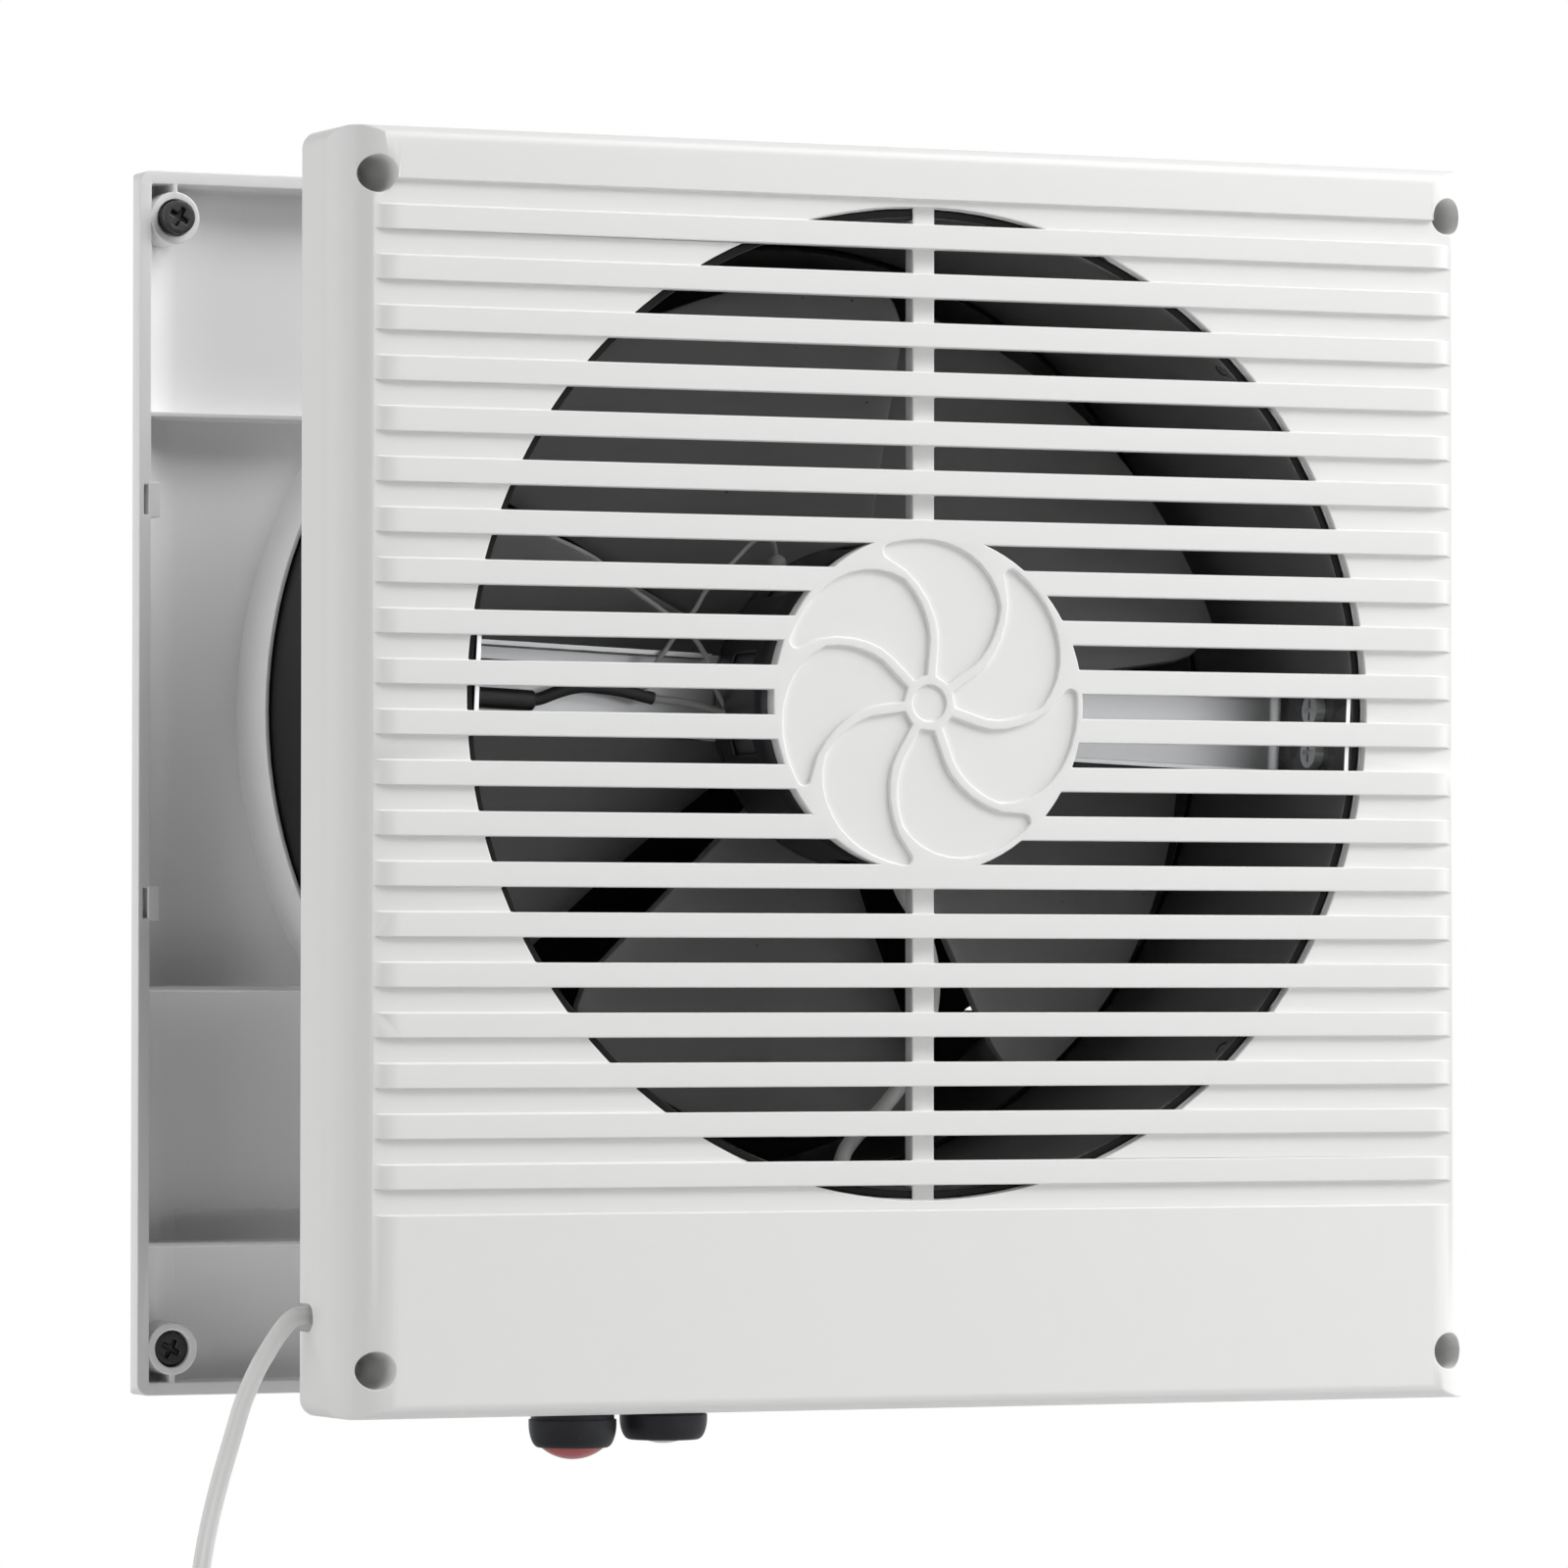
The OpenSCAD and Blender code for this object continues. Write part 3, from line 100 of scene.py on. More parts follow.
class NodeBench:
    """Adds and links nodes in one node tree."""

    def __init__(self, tree: bpy.types.NodeTree) -> None:
        """Keeps the tree that the nodes go into."""
        self.tree = tree

    def add(self, kind: str, **settings: object) -> bpy.types.Node:
        """Adds a node.

        Args:
            kind: the node's Blender type name.
            settings: attributes to set on it.

        Returns:
            The new node.
        """
        node = self.tree.nodes.new(kind)
        for key, value in settings.items():
            setattr(node, key, value)
        return node

    def link(self, source: bpy.types.NodeSocket, target: bpy.types.NodeSocket) -> None:
        """Links an output to an input."""
        self.tree.links.new(source, target)

    def here(self) -> bpy.types.NodeSocket:
        """The surface's place in its object's own coordinates."""
        return self.add("ShaderNodeTexCoord").outputs["Object"]

    def noise(self, place: bpy.types.NodeSocket, scale: bpy.types.NodeSocket, detail: float
              ) -> bpy.types.NodeSocket:
        """Adds a noise texture with a linked scale.

        Args:
            place: where the noise is looked up.
            scale: the socket that gives its scale.
            detail: how many finer layers it has.

        Returns:
            The noise's socket.
        """
        node = self.add("ShaderNodeTexNoise")
        node.inputs["Detail"].default_value = detail
        self.link(place, node.inputs["Vector"])
        self.link(scale, node.inputs["Scale"])
        return node.outputs["Fac"]

    def cells(self, place: bpy.types.NodeSocket, scale: bpy.types.NodeSocket, feature: str, output: str
              ) -> bpy.types.NodeSocket:
        """Adds a pattern of cells with a linked scale.

        Args:
            place: where the cells are looked up.
            scale: the socket that gives their scale.
            feature: what the pattern measures.
            output: the name of the output to use.

        Returns:
            The output's socket.
        """
        node = self.add("ShaderNodeTexVoronoi", feature=feature)
        self.link(place, node.inputs["Vector"])
        self.link(scale, node.inputs["Scale"])
        return node.outputs[output]

    def remap(self, value: bpy.types.NodeSocket, low: float, high: float, to_low: float = 0.0,
              to_high: float = 1.0) -> bpy.types.NodeSocket:
        """Maps a value's range onto another one and clamps it.

        Args:
            value: the socket to map.
            low: the value that becomes to_low.
            high: the value that becomes to_high.
            to_low: result at low.
            to_high: result at high.

        Returns:
            The mapped value's socket.
        """
        node = self.add("ShaderNodeMapRange", clamp=True)
        for name, number in (("From Min", low), ("From Max", high), ("To Min", to_low), ("To Max", to_high)):
            node.inputs[name].default_value = number
        self.link(value, node.inputs["Value"])
        return node.outputs["Result"]

    def blend(self, factor: bpy.types.NodeSocket, first: object, second: object) -> bpy.types.NodeSocket:
        """Mixes two colours, each a socket or a plain colour.

        Args:
            factor: the socket that mixes them.
            first: the colour at 0.
            second: the colour at 1.

        Returns:
            The mixed colour's socket.
        """
        node = self.add("ShaderNodeMix", data_type="RGBA")
        self.link(factor, node.inputs["Factor"])
        for name, colour in (("A", first), ("B", second)):
            target = next(s for s in node.inputs if s.name == name and s.type == "RGBA")
            if isinstance(colour, bpy.types.NodeSocket):
                self.link(colour, target)
            else:
                target.default_value = rgba(colour)
        return next(s for s in node.outputs if s.type == "RGBA")

    def maths(self, operation: str, first: object, second: object) -> bpy.types.NodeSocket:
        """Adds a maths node on two values, each a socket or a number.

        Args:
            operation: the node's operation.
            first: the first value.
            second: the second value.

        Returns:
            The result's socket.
        """
        node = self.add("ShaderNodeMath", operation=operation)
        for target, value in zip(node.inputs, (first, second)):
            if isinstance(value, bpy.types.NodeSocket):
                self.link(value, target)
            else:
                target.default_value = value
        return node.outputs[0]


class Socket(Enum):
    """Kinds of socket on a node group."""

    NUMBER = "NodeSocketFloat"
    COLOUR = "NodeSocketColor"


def start_group(name: str, inputs: Iterable[tuple[str, Socket]], outputs: Iterable[tuple[str, Socket]]
                ) -> tuple[bpy.types.ShaderNodeTree, NodeBench, bpy.types.Node, bpy.types.Node]:
    """Starts a shader node group with named sockets.

    Args:
        name: the group's name.
        inputs: its inputs, in order.
        outputs: its outputs, in order.

    Returns:
        The group, a bench for it, its input node and its output node.
    """
    group = bpy.data.node_groups.new(name, "ShaderNodeTree")
    for label, kind in inputs:
        group.interface.new_socket(label, in_out="INPUT", socket_type=kind.value)
    for label, kind in outputs:
        group.interface.new_socket(label, in_out="OUTPUT", socket_type=kind.value)
    bench = NodeBench(group)
    return group, bench, bench.add("NodeGroupInput"), bench.add("NodeGroupOutput")


def make_mottle() -> bpy.types.ShaderNodeTree:
    """Builds the soft patches of tone that every finish has.

    Returns:
        A group that takes two colours and a scale and puts out their mix and its mask.
    """
    group, bench, start, end = start_group(
        "soft_mottle",
        [("Clean", Socket.COLOUR), ("Shaded", Socket.COLOUR), ("Scale", Socket.NUMBER)],
        [("Color", Socket.COLOUR), ("Mask", Socket.NUMBER)])
    noise = bench.noise(bench.here(), start.outputs["Scale"], detail=4.0)
    mask = bench.remap(noise, low=0.38, high=0.66)
    bench.link(bench.blend(mask, start.outputs["Clean"], start.outputs["Shaded"]), end.inputs["Color"])
    bench.link(mask, end.inputs["Mask"])
    return group


def make_grain() -> bpy.types.ShaderNodeTree:
    """Builds the fine skin of moulded or painted surfaces.

    Returns:
        A group that takes a scale and puts out a height.
    """
    group, bench, start, end = start_group(
        "fine_grain", [("Scale", Socket.NUMBER)], [("Height", Socket.NUMBER)])
    noise = bench.noise(bench.here(), start.outputs["Scale"], detail=2.0)
    bench.link(noise, end.inputs["Height"])
    return group


def make_specks() -> bpy.types.ShaderNodeTree:
    """Builds the few specks of dust that dark parts show.

    Returns:
        A group that takes a colour, a speck colour and a scale and puts out the dusted colour.
    """
    group, bench, start, end = start_group(
        "dust_specks",
        [("Color", Socket.COLOUR), ("Dust", Socket.COLOUR), ("Scale", Socket.NUMBER)],
        [("Color", Socket.COLOUR)])
    place = bench.here()
    distance = bench.cells(place, start.outputs["Scale"], "F1", "Distance")
    near = bench.remap(distance, low=0.03, high=0.09, to_low=1.0, to_high=0.0)
    noise = bench.noise(place, start.outputs["Scale"], detail=1.0)
    some = bench.remap(noise, low=0.56, high=0.6)
    mask = bench.maths("MULTIPLY", near, some)
    bench.link(bench.blend(mask, start.outputs["Color"], start.outputs["Dust"]), end.inputs["Color"])
    return group


def make_spangle() -> bpy.types.ShaderNodeTree:
    """Builds the crystal patches of zinc on galvanised sheet.

    Returns:
        A group that takes two colours and a scale and puts out a colour, a mask and a height.
    """
    group, bench, start, end = start_group(
        "zinc_spangle",
        [("Bright", Socket.COLOUR), ("Dull", Socket.COLOUR), ("Scale", Socket.NUMBER)],
        [("Color", Socket.COLOUR), ("Mask", Socket.NUMBER), ("Height", Socket.NUMBER)])
    place = bench.here()
    patch = bench.add("ShaderNodeSeparateColor")
    bench.link(bench.cells(place, start.outputs["Scale"], "F1", "Color"), patch.inputs["Color"])
    mask = bench.remap(patch.outputs["Red"], low=0.0, high=1.0)
    bench.link(bench.blend(mask, start.outputs["Bright"], start.outputs["Dull"]), end.inputs["Color"])
    bench.link(mask, end.inputs["Mask"])
    bench.link(bench.noise(place, start.outputs["Scale"], detail=5.0), end.inputs["Height"])
    return group


def make_foam() -> bpy.types.ShaderNodeTree:
    """Builds the open cells of filter foam.

    Returns:
        A group that takes two colours and a scale and puts out a colour and a height.
    """
    group, bench, start, end = start_group(
        "open_foam",
        [("Strand", Socket.COLOUR), ("Pore", Socket.COLOUR), ("Scale", Socket.NUMBER)],
        [("Color", Socket.COLOUR), ("Height", Socket.NUMBER)])
    distance = bench.cells(bench.here(), start.outputs["Scale"], "DISTANCE_TO_EDGE", "Distance")
    pore = bench.remap(distance, low=0.05, high=0.3)
    bench.link(bench.blend(pore, start.outputs["Strand"], start.outputs["Pore"]), end.inputs["Color"])
    bench.link(bench.remap(pore, low=0.0, high=1.0, to_low=1.0, to_high=0.0), end.inputs["Height"])
    return group


class Effects:
    """The shared node groups, each made once when a finish first asks for it."""

    makers: dict[str, Callable[[], bpy.types.ShaderNodeTree]] = {
        "mottle": make_mottle,
        "grain": make_grain,
        "specks": make_specks,
        "spangle": make_spangle,
        "foam": make_foam,
    }
    made: dict[str, bpy.types.ShaderNodeTree] = {}

    @classmethod
    def place(cls, bench: NodeBench, effect: str, **values: object) -> bpy.types.Node:
        """Puts a shared group into a material.

        Args:
            bench: the bench of the material's tree.
            effect: the effect's name in makers.
            values: the group's input values: a number, a colour or a socket.

        Returns:
            The group node.
        """
        if effect not in cls.made:
            cls.made[effect] = cls.makers[effect]()
        node = bench.add("ShaderNodeGroup", node_tree=cls.made[effect])
        for name, value in values.items():
            if isinstance(value, bpy.types.NodeSocket):
                bench.link(value, node.inputs[name])
            elif isinstance(value, tuple):
                node.inputs[name].default_value = rgba(value)
            else:
                node.inputs[name].default_value = value
        return node


@dataclass(frozen=True)
class Finish:
    """A surface finish: two close tones in soft patches, over a fine grain."""

    name: str
    slot: str
    clean: Colour
    shaded: Colour
    patch_scale: float = 22.0
    rough_low: float = 0.35
    rough_high: float = 0.5
    grain_scale: float = 2600.0
    grain_depth: float = 0.02 * MM
    metallic: float = 0.0
    coat: float = 0.0
    dust_scale: float = 0.0
    dust: Colour = (0.07, 0.07, 0.07)
    specular: float = 0.5

    def material(self) -> bpy.types.Material:
        """The finish as a material, made once and then found again by its name.

        Returns:
            The material.
        """
        found = bpy.data.materials.get(self.name)
        if found:
            return found
        material = bpy.data.materials.new(self.name)
        material.use_nodes = True
        material.node_tree.nodes.clear()
        bench = NodeBench(material.node_tree)
        shader = bench.add("ShaderNodeBsdfPrincipled")
        output = bench.add("ShaderNodeOutputMaterial")
        bench.link(shader.outputs["BSDF"], output.inputs["Surface"])
        shader.inputs["Metallic"].default_value = self.metallic
        shader.inputs["Coat Weight"].default_value = self.coat
        shader.inputs["Specular IOR Level"].default_value = self.specular
        self.dress(bench, shader)
        material.diffuse_color = rgba(self.clean)
        return material

    def dress(self, bench: NodeBench, shader: bpy.types.Node) -> None:
        """Feeds the shader its colour, roughness and bump.

        Args:
            bench: the bench of the material's tree.
            shader: the Principled shader.
        """
        mottle = Effects.place(bench, "mottle", Clean=self.clean, Shaded=self.shaded, Scale=self.patch_scale)
        colour = mottle.outputs["Color"]
        if self.dust_scale:
            specks = Effects.place(bench, "specks", Color=colour, Dust=self.dust, Scale=self.dust_scale)
            colour = specks.outputs["Color"]
        bench.link(colour, shader.inputs["Base Color"])
        rough = bench.remap(mottle.outputs["Mask"], 0.0, 1.0, self.rough_low, self.rough_high)
        bench.link(rough, shader.inputs["Roughness"])
        grain = Effects.place(bench, "grain", Scale=self.grain_scale)
        self.bump(bench, shader, grain.outputs["Height"])

    def bump(self, bench: NodeBench, shader: bpy.types.Node, height: bpy.types.NodeSocket) -> None:
        """Gives the shader a bump of the finish's grain depth.

        Args:
            bench: the bench of the material's tree.
            shader: the Principled shader.
            height: the socket that gives the height, 0 to 1.
        """
        bump = bench.add("ShaderNodeBump")
        bump.inputs["Strength"].default_value = 1.0
        bump.inputs["Distance"].default_value = self.grain_depth
        bench.link(height, bump.inputs["Height"])
        bench.link(bump.outputs["Normal"], shader.inputs["Normal"])


@dataclass(frozen=True)
class ZincFinish(Finish):
    """Galvanised sheet, with crystal patches in the zinc."""

    spangle_scale: float = 260.0

    def dress(self, bench: NodeBench, shader: bpy.types.Node) -> None:
        """Feeds the shader from the spangle group.

        Args:
            bench: the bench of the material's tree.
            shader: the Principled shader.
        """
        spangle = Effects.place(
            bench, "spangle", Bright=self.clean, Dull=self.shaded, Scale=self.spangle_scale)
        bench.link(spangle.outputs["Color"], shader.inputs["Base Color"])
        rough = bench.remap(spangle.outputs["Mask"], 0.0, 1.0, self.rough_low, self.rough_high)
        bench.link(rough, shader.inputs["Roughness"])
        self.bump(bench, shader, spangle.outputs["Height"])


@dataclass(frozen=True)
class FoamFinish(Finish):
    """Open filter foam."""

    cell_scale: float = 520.0

    def dress(self, bench: NodeBench, shader: bpy.types.Node) -> None:
        """Feeds the shader from the foam group.

        Args:
            bench: the bench of the material's tree.
            shader: the Principled shader.
        """
        foam = Effects.place(bench, "foam", Strand=self.clean, Pore=self.shaded, Scale=self.cell_scale)
        bench.link(foam.outputs["Color"], shader.inputs["Base Color"])
        shader.inputs["Roughness"].default_value = self.rough_high
        self.bump(bench, shader, foam.outputs["Height"])


@dataclass(frozen=True)
class LensFinish(Finish):
    """A coloured lens that lets some light through."""

    transmission: float = 0.35

    def dress(self, bench: NodeBench, shader: bpy.types.Node) -> None:
        """Adds the transmission to the plain finish."""
        super().dress(bench, shader)
        shader.inputs["Transmission Weight"].default_value = self.transmission


WHITE_PLASTIC = Finish("white_plastic", "white_plastic", grey(0.845), grey(0.83), patch_scale=9.0,
                       rough_low=0.36, rough_high=0.42, grain_scale=3200.0, grain_depth=0.006 * MM)
# Painted light: the rear cover is a lighter copy of the front cover's white plastic, standing in for the
# light that reaches it less.
REAR_PAINTED_LIGHT = replace(WHITE_PLASTIC, name="rear_white_painted_light", clean=grey(0.92), shaded=grey(0.905))
BLACK_PLASTIC = Finish("duct_black", "black_plastic", grey(0.007), grey(0.01), rough_low=0.36,
                       rough_high=0.46, grain_depth=0.01 * MM, dust_scale=260.0, specular=0.12)
# Painted light: the inside of the black duct is a far lighter grey than its outside, standing in for light
# that does not reach into the duct.
DUCT_PAINTED_LIGHT = Finish("duct_inside_painted_light", "black_plastic", grey(0.26), grey(0.29), rough_low=0.4,
                     rough_high=0.5, grain_depth=0.01 * MM, dust_scale=260.0)
IMPELLER_PLASTIC = Finish("impeller_grey", "impeller_plastic", grey(0.29), grey(0.32), rough_low=0.36,
                          rough_high=0.45, grain_depth=0.01 * MM, dust_scale=210.0)
BEZEL_PLASTIC = Finish("bezel_black", "button_plastic", (0.018, 0.0185, 0.022), (0.024, 0.025, 0.029),
                       patch_scale=120.0, rough_low=0.42, rough_high=0.54, grain_scale=1500.0,
                       grain_depth=0.03 * MM, dust_scale=420.0, specular=0.2)
RED_LENS = LensFinish("red_lens", "red_lens", (0.22, 0.032, 0.042), (0.19, 0.028, 0.037), rough_low=0.1,
                      rough_high=0.16, grain_depth=0.002 * MM, transmission=0.05, specular=0.25)
PALE_LENS = LensFinish("pale_lens", "pale_lens", (0.13, 0.14, 0.125), (0.11, 0.12, 0.105), rough_low=0.14,
                       rough_high=0.2, grain_depth=0.002 * MM, transmission=0.04, specular=0.25)
ZINC_STEEL = Finish("zinc_steel", "zinc_steel", grey(0.62), grey(0.5), patch_scale=180.0, rough_low=0.24,
                    rough_high=0.38, metallic=1.0, grain_depth=0.008 * MM)
BLACK_STEEL = Finish("black_steel", "black_steel", grey(0.02), grey(0.03), patch_scale=300.0, rough_low=0.28,
                     rough_high=0.42, metallic=0.6, grain_scale=1800.0, grain_depth=0.015 * MM)
GALVANISED = ZincFinish("galvanised_sheet", "galvanised_sheet", grey(0.92), grey(0.78), rough_low=0.4,
                        rough_high=0.55, metallic=0.6, grain_depth=0.01 * MM)
# Painted reflection: a dark copy of the galvanised sheet for the strap's sideways faces, standing in for the
# dark duct mirrored in them.
GALVANISED_PAINTED_REFLECTION = ZincFinish("galvanised_painted_reflection", "galvanised_sheet", grey(0.13), grey(0.10), rough_low=0.34,
                             rough_high=0.48, metallic=0.9, grain_depth=0.01 * MM)
MOTOR_PAINT = Finish("motor_paint", "motor_paint", grey(0.42), grey(0.46), patch_scale=60.0, rough_low=0.36,
                     rough_high=0.5, grain_scale=1400.0, grain_depth=0.03 * MM, dust_scale=240.0)
STACK_IRON = Finish("stack_iron", "stack_iron", grey(0.30), grey(0.22), patch_scale=140.0, rough_low=0.4,
                    rough_high=0.6, metallic=0.9)
COPPER = Finish("copper_wire", "copper_wire", (0.64, 0.26, 0.12), (0.5, 0.18, 0.08), patch_scale=400.0,
                rough_low=0.2, rough_high=0.34, metallic=1.0, coat=0.6)
BRONZE = Finish("bush_bronze", "bush_bronze", (0.5, 0.33, 0.16), (0.4, 0.26, 0.12), patch_scale=300.0,
                rough_low=0.34, rough_high=0.5, metallic=1.0)
FOAM = FoamFinish("filter_foam", "filter_foam", grey(0.22), grey(0.13), rough_high=0.9,
                  grain_depth=0.6 * MM)
BRASS = Finish("contact_brass", "contact_brass", (0.62, 0.47, 0.2), (0.52, 0.38, 0.15), patch_scale=220.0,
               rough_low=0.22, rough_high=0.36, metallic=1.0)
BROWN_WIRE = Finish("wire_brown", "wire_brown", (0.10, 0.045, 0.022), (0.085, 0.038, 0.018), rough_low=0.35,
                    rough_high=0.45)
WHITE_WIRE = Finish("wire_white", "wire_white", grey(0.72), grey(0.66), rough_low=0.38, rough_high=0.48)
GREY_WIRE = Finish("wire_grey", "wire_grey", grey(0.52), grey(0.46), rough_low=0.38, rough_high=0.48)
SPLICE = Finish("splice_black", "splice_black", grey(0.02), grey(0.03), patch_scale=260.0, rough_low=0.34,
                rough_high=0.5, grain_scale=900.0, grain_depth=0.05 * MM)
CORD_VINYL = Finish("cord_vinyl", "cord_vinyl", grey(0.87), grey(0.85), patch_scale=40.0, rough_low=0.4,
                    rough_high=0.5, grain_scale=1500.0, grain_depth=0.01 * MM)
TIE_NYLON = Finish("tie_black", "tie_black", grey(0.018), grey(0.03), patch_scale=500.0, rough_low=0.5,
                   rough_high=0.7, grain_scale=2200.0, grain_depth=0.06 * MM)

NODE_FINISHES: dict[str, Finish] = {
    "front_cover": WHITE_PLASTIC, "rear_cover": REAR_PAINTED_LIGHT,
    "front_sleeve": BLACK_PLASTIC, "rear_sleeve": DUCT_PAINTED_LIGHT,
    "sleeve_screws": ZINC_STEEL, "rear_sleeve_screws": ZINC_STEEL,
    "dust_filter": FOAM, "rear_screws": BLACK_STEEL,
    "motor_strap": GALVANISED, "strap_screws": ZINC_STEEL, "strap_nuts": ZINC_STEEL,
    "motor_can": MOTOR_PAINT, "motor_end_plate": MOTOR_PAINT, "motor_bolts": ZINC_STEEL,
    "motor_nuts": ZINC_STEEL, "stator_stack": STACK_IRON, "stator_windings": COPPER,
    "rotor": STACK_IRON, "motor_shaft": ZINC_STEEL, "shaft_bushes": BRONZE,
    "impeller": IMPELLER_PLASTIC, "impeller_washer": ZINC_STEEL, "impeller_nut": ZINC_STEEL,
    "red_bezel": BEZEL_PLASTIC, "red_lens": RED_LENS, "red_switch": BLACK_PLASTIC,
    "red_barrel_nut": BEZEL_PLASTIC, "pale_bezel": BEZEL_PLASTIC, "pale_lens": PALE_LENS,
    "pale_switch": BLACK_PLASTIC, "pale_barrel_nut": BEZEL_PLASTIC, "switch_terminals": BRASS,
    "cord_clamp": BLACK_PLASTIC, "clamp_screws": ZINC_STEEL, "live_wire": BROWN_WIRE,
    "link_wire": BROWN_WIRE, "motor_lead": WHITE_WIRE, "strap_lead": GREY_WIRE,
    "wire_splices": SPLICE, "cord": CORD_VINYL, "cord_coil": CORD_VINYL, "cord_tail": CORD_VINYL,
    "cord_tie": TIE_NYLON, "plug_body": CORD_VINYL, "plug_blades": BRASS,
}


# Modelling helpers


def deselect() -> None:
    """Leaves object mode's selection empty."""
    if bpy.context.object and bpy.context.object.mode != "OBJECT":
        bpy.ops.object.mode_set(mode="OBJECT")
    bpy.ops.object.select_all(action="DESELECT")


def pick(obj: bpy.types.Object) -> None:
    """Makes an object the only selected one and the active one.

    Args:
        obj: the object.
    """
    deselect()
    obj.select_set(True)
    bpy.context.view_layer.objects.active = obj


def settle(obj: bpy.types.Object, name: str) -> bpy.types.Object:
    """Names a finished piece and works its place, turn and scale into its mesh.

    Args:
        obj: the piece.
        name: its name.

    Returns:
        The piece.
    """
    pick(obj)
    bpy.ops.object.transform_apply(location=True, rotation=True, scale=True)
    obj.name = name
    obj.data.name = name
    return obj


def modify(obj: bpy.types.Object, kind: str, **settings: object) -> None:
    """Adds a modifier and applies it.

    Args:
        obj: the piece.
        kind: the modifier's type.
        settings: attributes to set on it.
    """
    pick(obj)
    modifier = obj.modifiers.new(kind.lower(), kind)
    for key, value in settings.items():
        setattr(modifier, key, value)
    bpy.ops.object.modifier_apply(modifier=modifier.name)


def smooth(obj: bpy.types.Object, degrees: float) -> None:
    """Shades a piece smooth, with sharp edges above an angle."""
    pick(obj)
    bpy.ops.object.shade_smooth_by_angle(angle=math.radians(degrees))


def round_edges(obj: bpy.types.Object, width: float, degrees: float, segments: int = 2, **settings: object
                ) -> None:
    """Bevels the edges of a piece that bend by more than an angle.

    Args:
        obj: the piece.
        width: how wide the rounding is.
        degrees: the angle.
        segments: how many steps the rounding has.
        settings: more attributes for the modifier.
    """
    modify(obj, "BEVEL", width=width, segments=segments, limit_method="ANGLE",
           angle_limit=math.radians(degrees), **settings)


def face_outwards(obj: bpy.types.Object, weld: bool = False) -> None:
    """Points the faces of a closed piece outwards.

    Args:
        obj: the piece.
        weld: whether points that coincide become one first.
    """
    pick(obj)
    bpy.ops.object.mode_set(mode="EDIT")
    bpy.ops.mesh.select_all(action="SELECT")
    if weld:
        bpy.ops.mesh.remove_doubles(threshold=WELD)
    bpy.ops.mesh.normals_make_consistent(inside=False)
    bpy.ops.object.mode_set(mode="OBJECT")


def join(parts: Sequence[bpy.types.Object], name: str) -> bpy.types.Object:
    """Joins pieces into one.

    Args:
        parts: the pieces, of which the first one keeps its object.
        name: the name of the whole.

    Returns:
        The whole, settled.
    """
    pick(parts[0])
    for part in parts:
        part.select_set(True)
    bpy.ops.object.join()
    return settle(parts[0], name)


def dress(obj: bpy.types.Object, finish: Finish) -> None:
    """Puts a finish on every slot of an object.

    Args:
        obj: a node of the frame or a new piece.
        finish: the finish.
    """
    material = finish.material()
    if not obj.material_slots:
        obj.data.materials.append(material)
    for slot in obj.material_slots:
        slot.material = material


def mount(obj: bpy.types.Object, finish: Finish, carrier: Carrier, *nodes: str) -> None:
    """Finishes a new piece, puts it on its body and hides the nodes that it stands for.

    Args:
        obj: the piece, in place.
        finish: its finish.
        carrier: the body that it rides on.
        nodes: the nodes that it replaces.
    """
    dress(obj, finish)
    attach(obj, carrier.value)
    if nodes:
        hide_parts(*nodes)
    log.info("%s: %d faces, on %s", obj.name, len(obj.data.polygons), carrier.value)


def mesh_piece(name: str, points: Sequence[Vector], faces: Sequence[Sequence[int]]) -> bpy.types.Object:
    """Makes a mesh object from points and faces.

    Args:
        name: the piece's name.
        points: its vertices.
        faces: its faces, as lists of vertex numbers.

    Returns:
        The new object, linked to the scene.
    """
    mesh = bpy.data.meshes.new(name)
    mesh.from_pydata([tuple(p) for p in points], [], [tuple(f) for f in faces])
    mesh.validate()
    obj = bpy.data.objects.new(name, mesh)
    bpy.context.scene.collection.objects.link(obj)
    return obj


def curve_through(points: Sequence[Vector], steps: int) -> list[Vector]:
    """Runs a smooth curve through points.

    Args:
        points: the points that it passes.
        steps: how many steps it takes between two of them.

    Returns:
        The curve's points, the last one included.
    """
    line: list[Vector] = []
    last = len(points) - 1
    for i in range(last):
        a, b = points[max(i - 1, 0)], points[i]
        c, d = points[i + 1], points[min(i + 2, last)]
        for k in range(steps):
            t = k / steps
            line.append(0.5 * (2 * b + (c - a) * t + (2 * a - 5 * b + 4 * c - d) * t * t
                               + (3 * b - a - 3 * c + d) * t * t * t))
    line.append(points[last].copy())
    return line


def sweep(name: str, path: Sequence[Vector], section: Sequence[tuple[float, float]]) -> bpy.types.Object:
    """Sweeps a closed section along a path and closes both ends.

    Args:
        name: the piece's name.
        path: the centres of its rings.
        section: the section's points, across the path and into the wall.

    Returns:
        The tube.
    """
    count, points, faces = len(section), [], []
    for i, centre in enumerate(path):
        ahead = (path[min(i + 1, len(path) - 1)] - path[max(i - 1, 0)]).normalized()
        across = ahead.cross(DEPTHWISE).normalized()
        rise = across.cross(ahead)
        points += [centre + across * x + rise * y for x, y in section]
    for i in range(len(path) - 1):
        for k in range(count):
            m = (k + 1) % count
            faces.append((i * count + k, i * count + m, (i + 1) * count + m, (i + 1) * count + k))
    faces.append(tuple(reversed(range(count))))
    faces.append(tuple(range((len(path) - 1) * count, len(path) * count)))
    tube = mesh_piece(name, points, faces)
    face_outwards(tube)
    smooth(tube, degrees=60)
    return tube


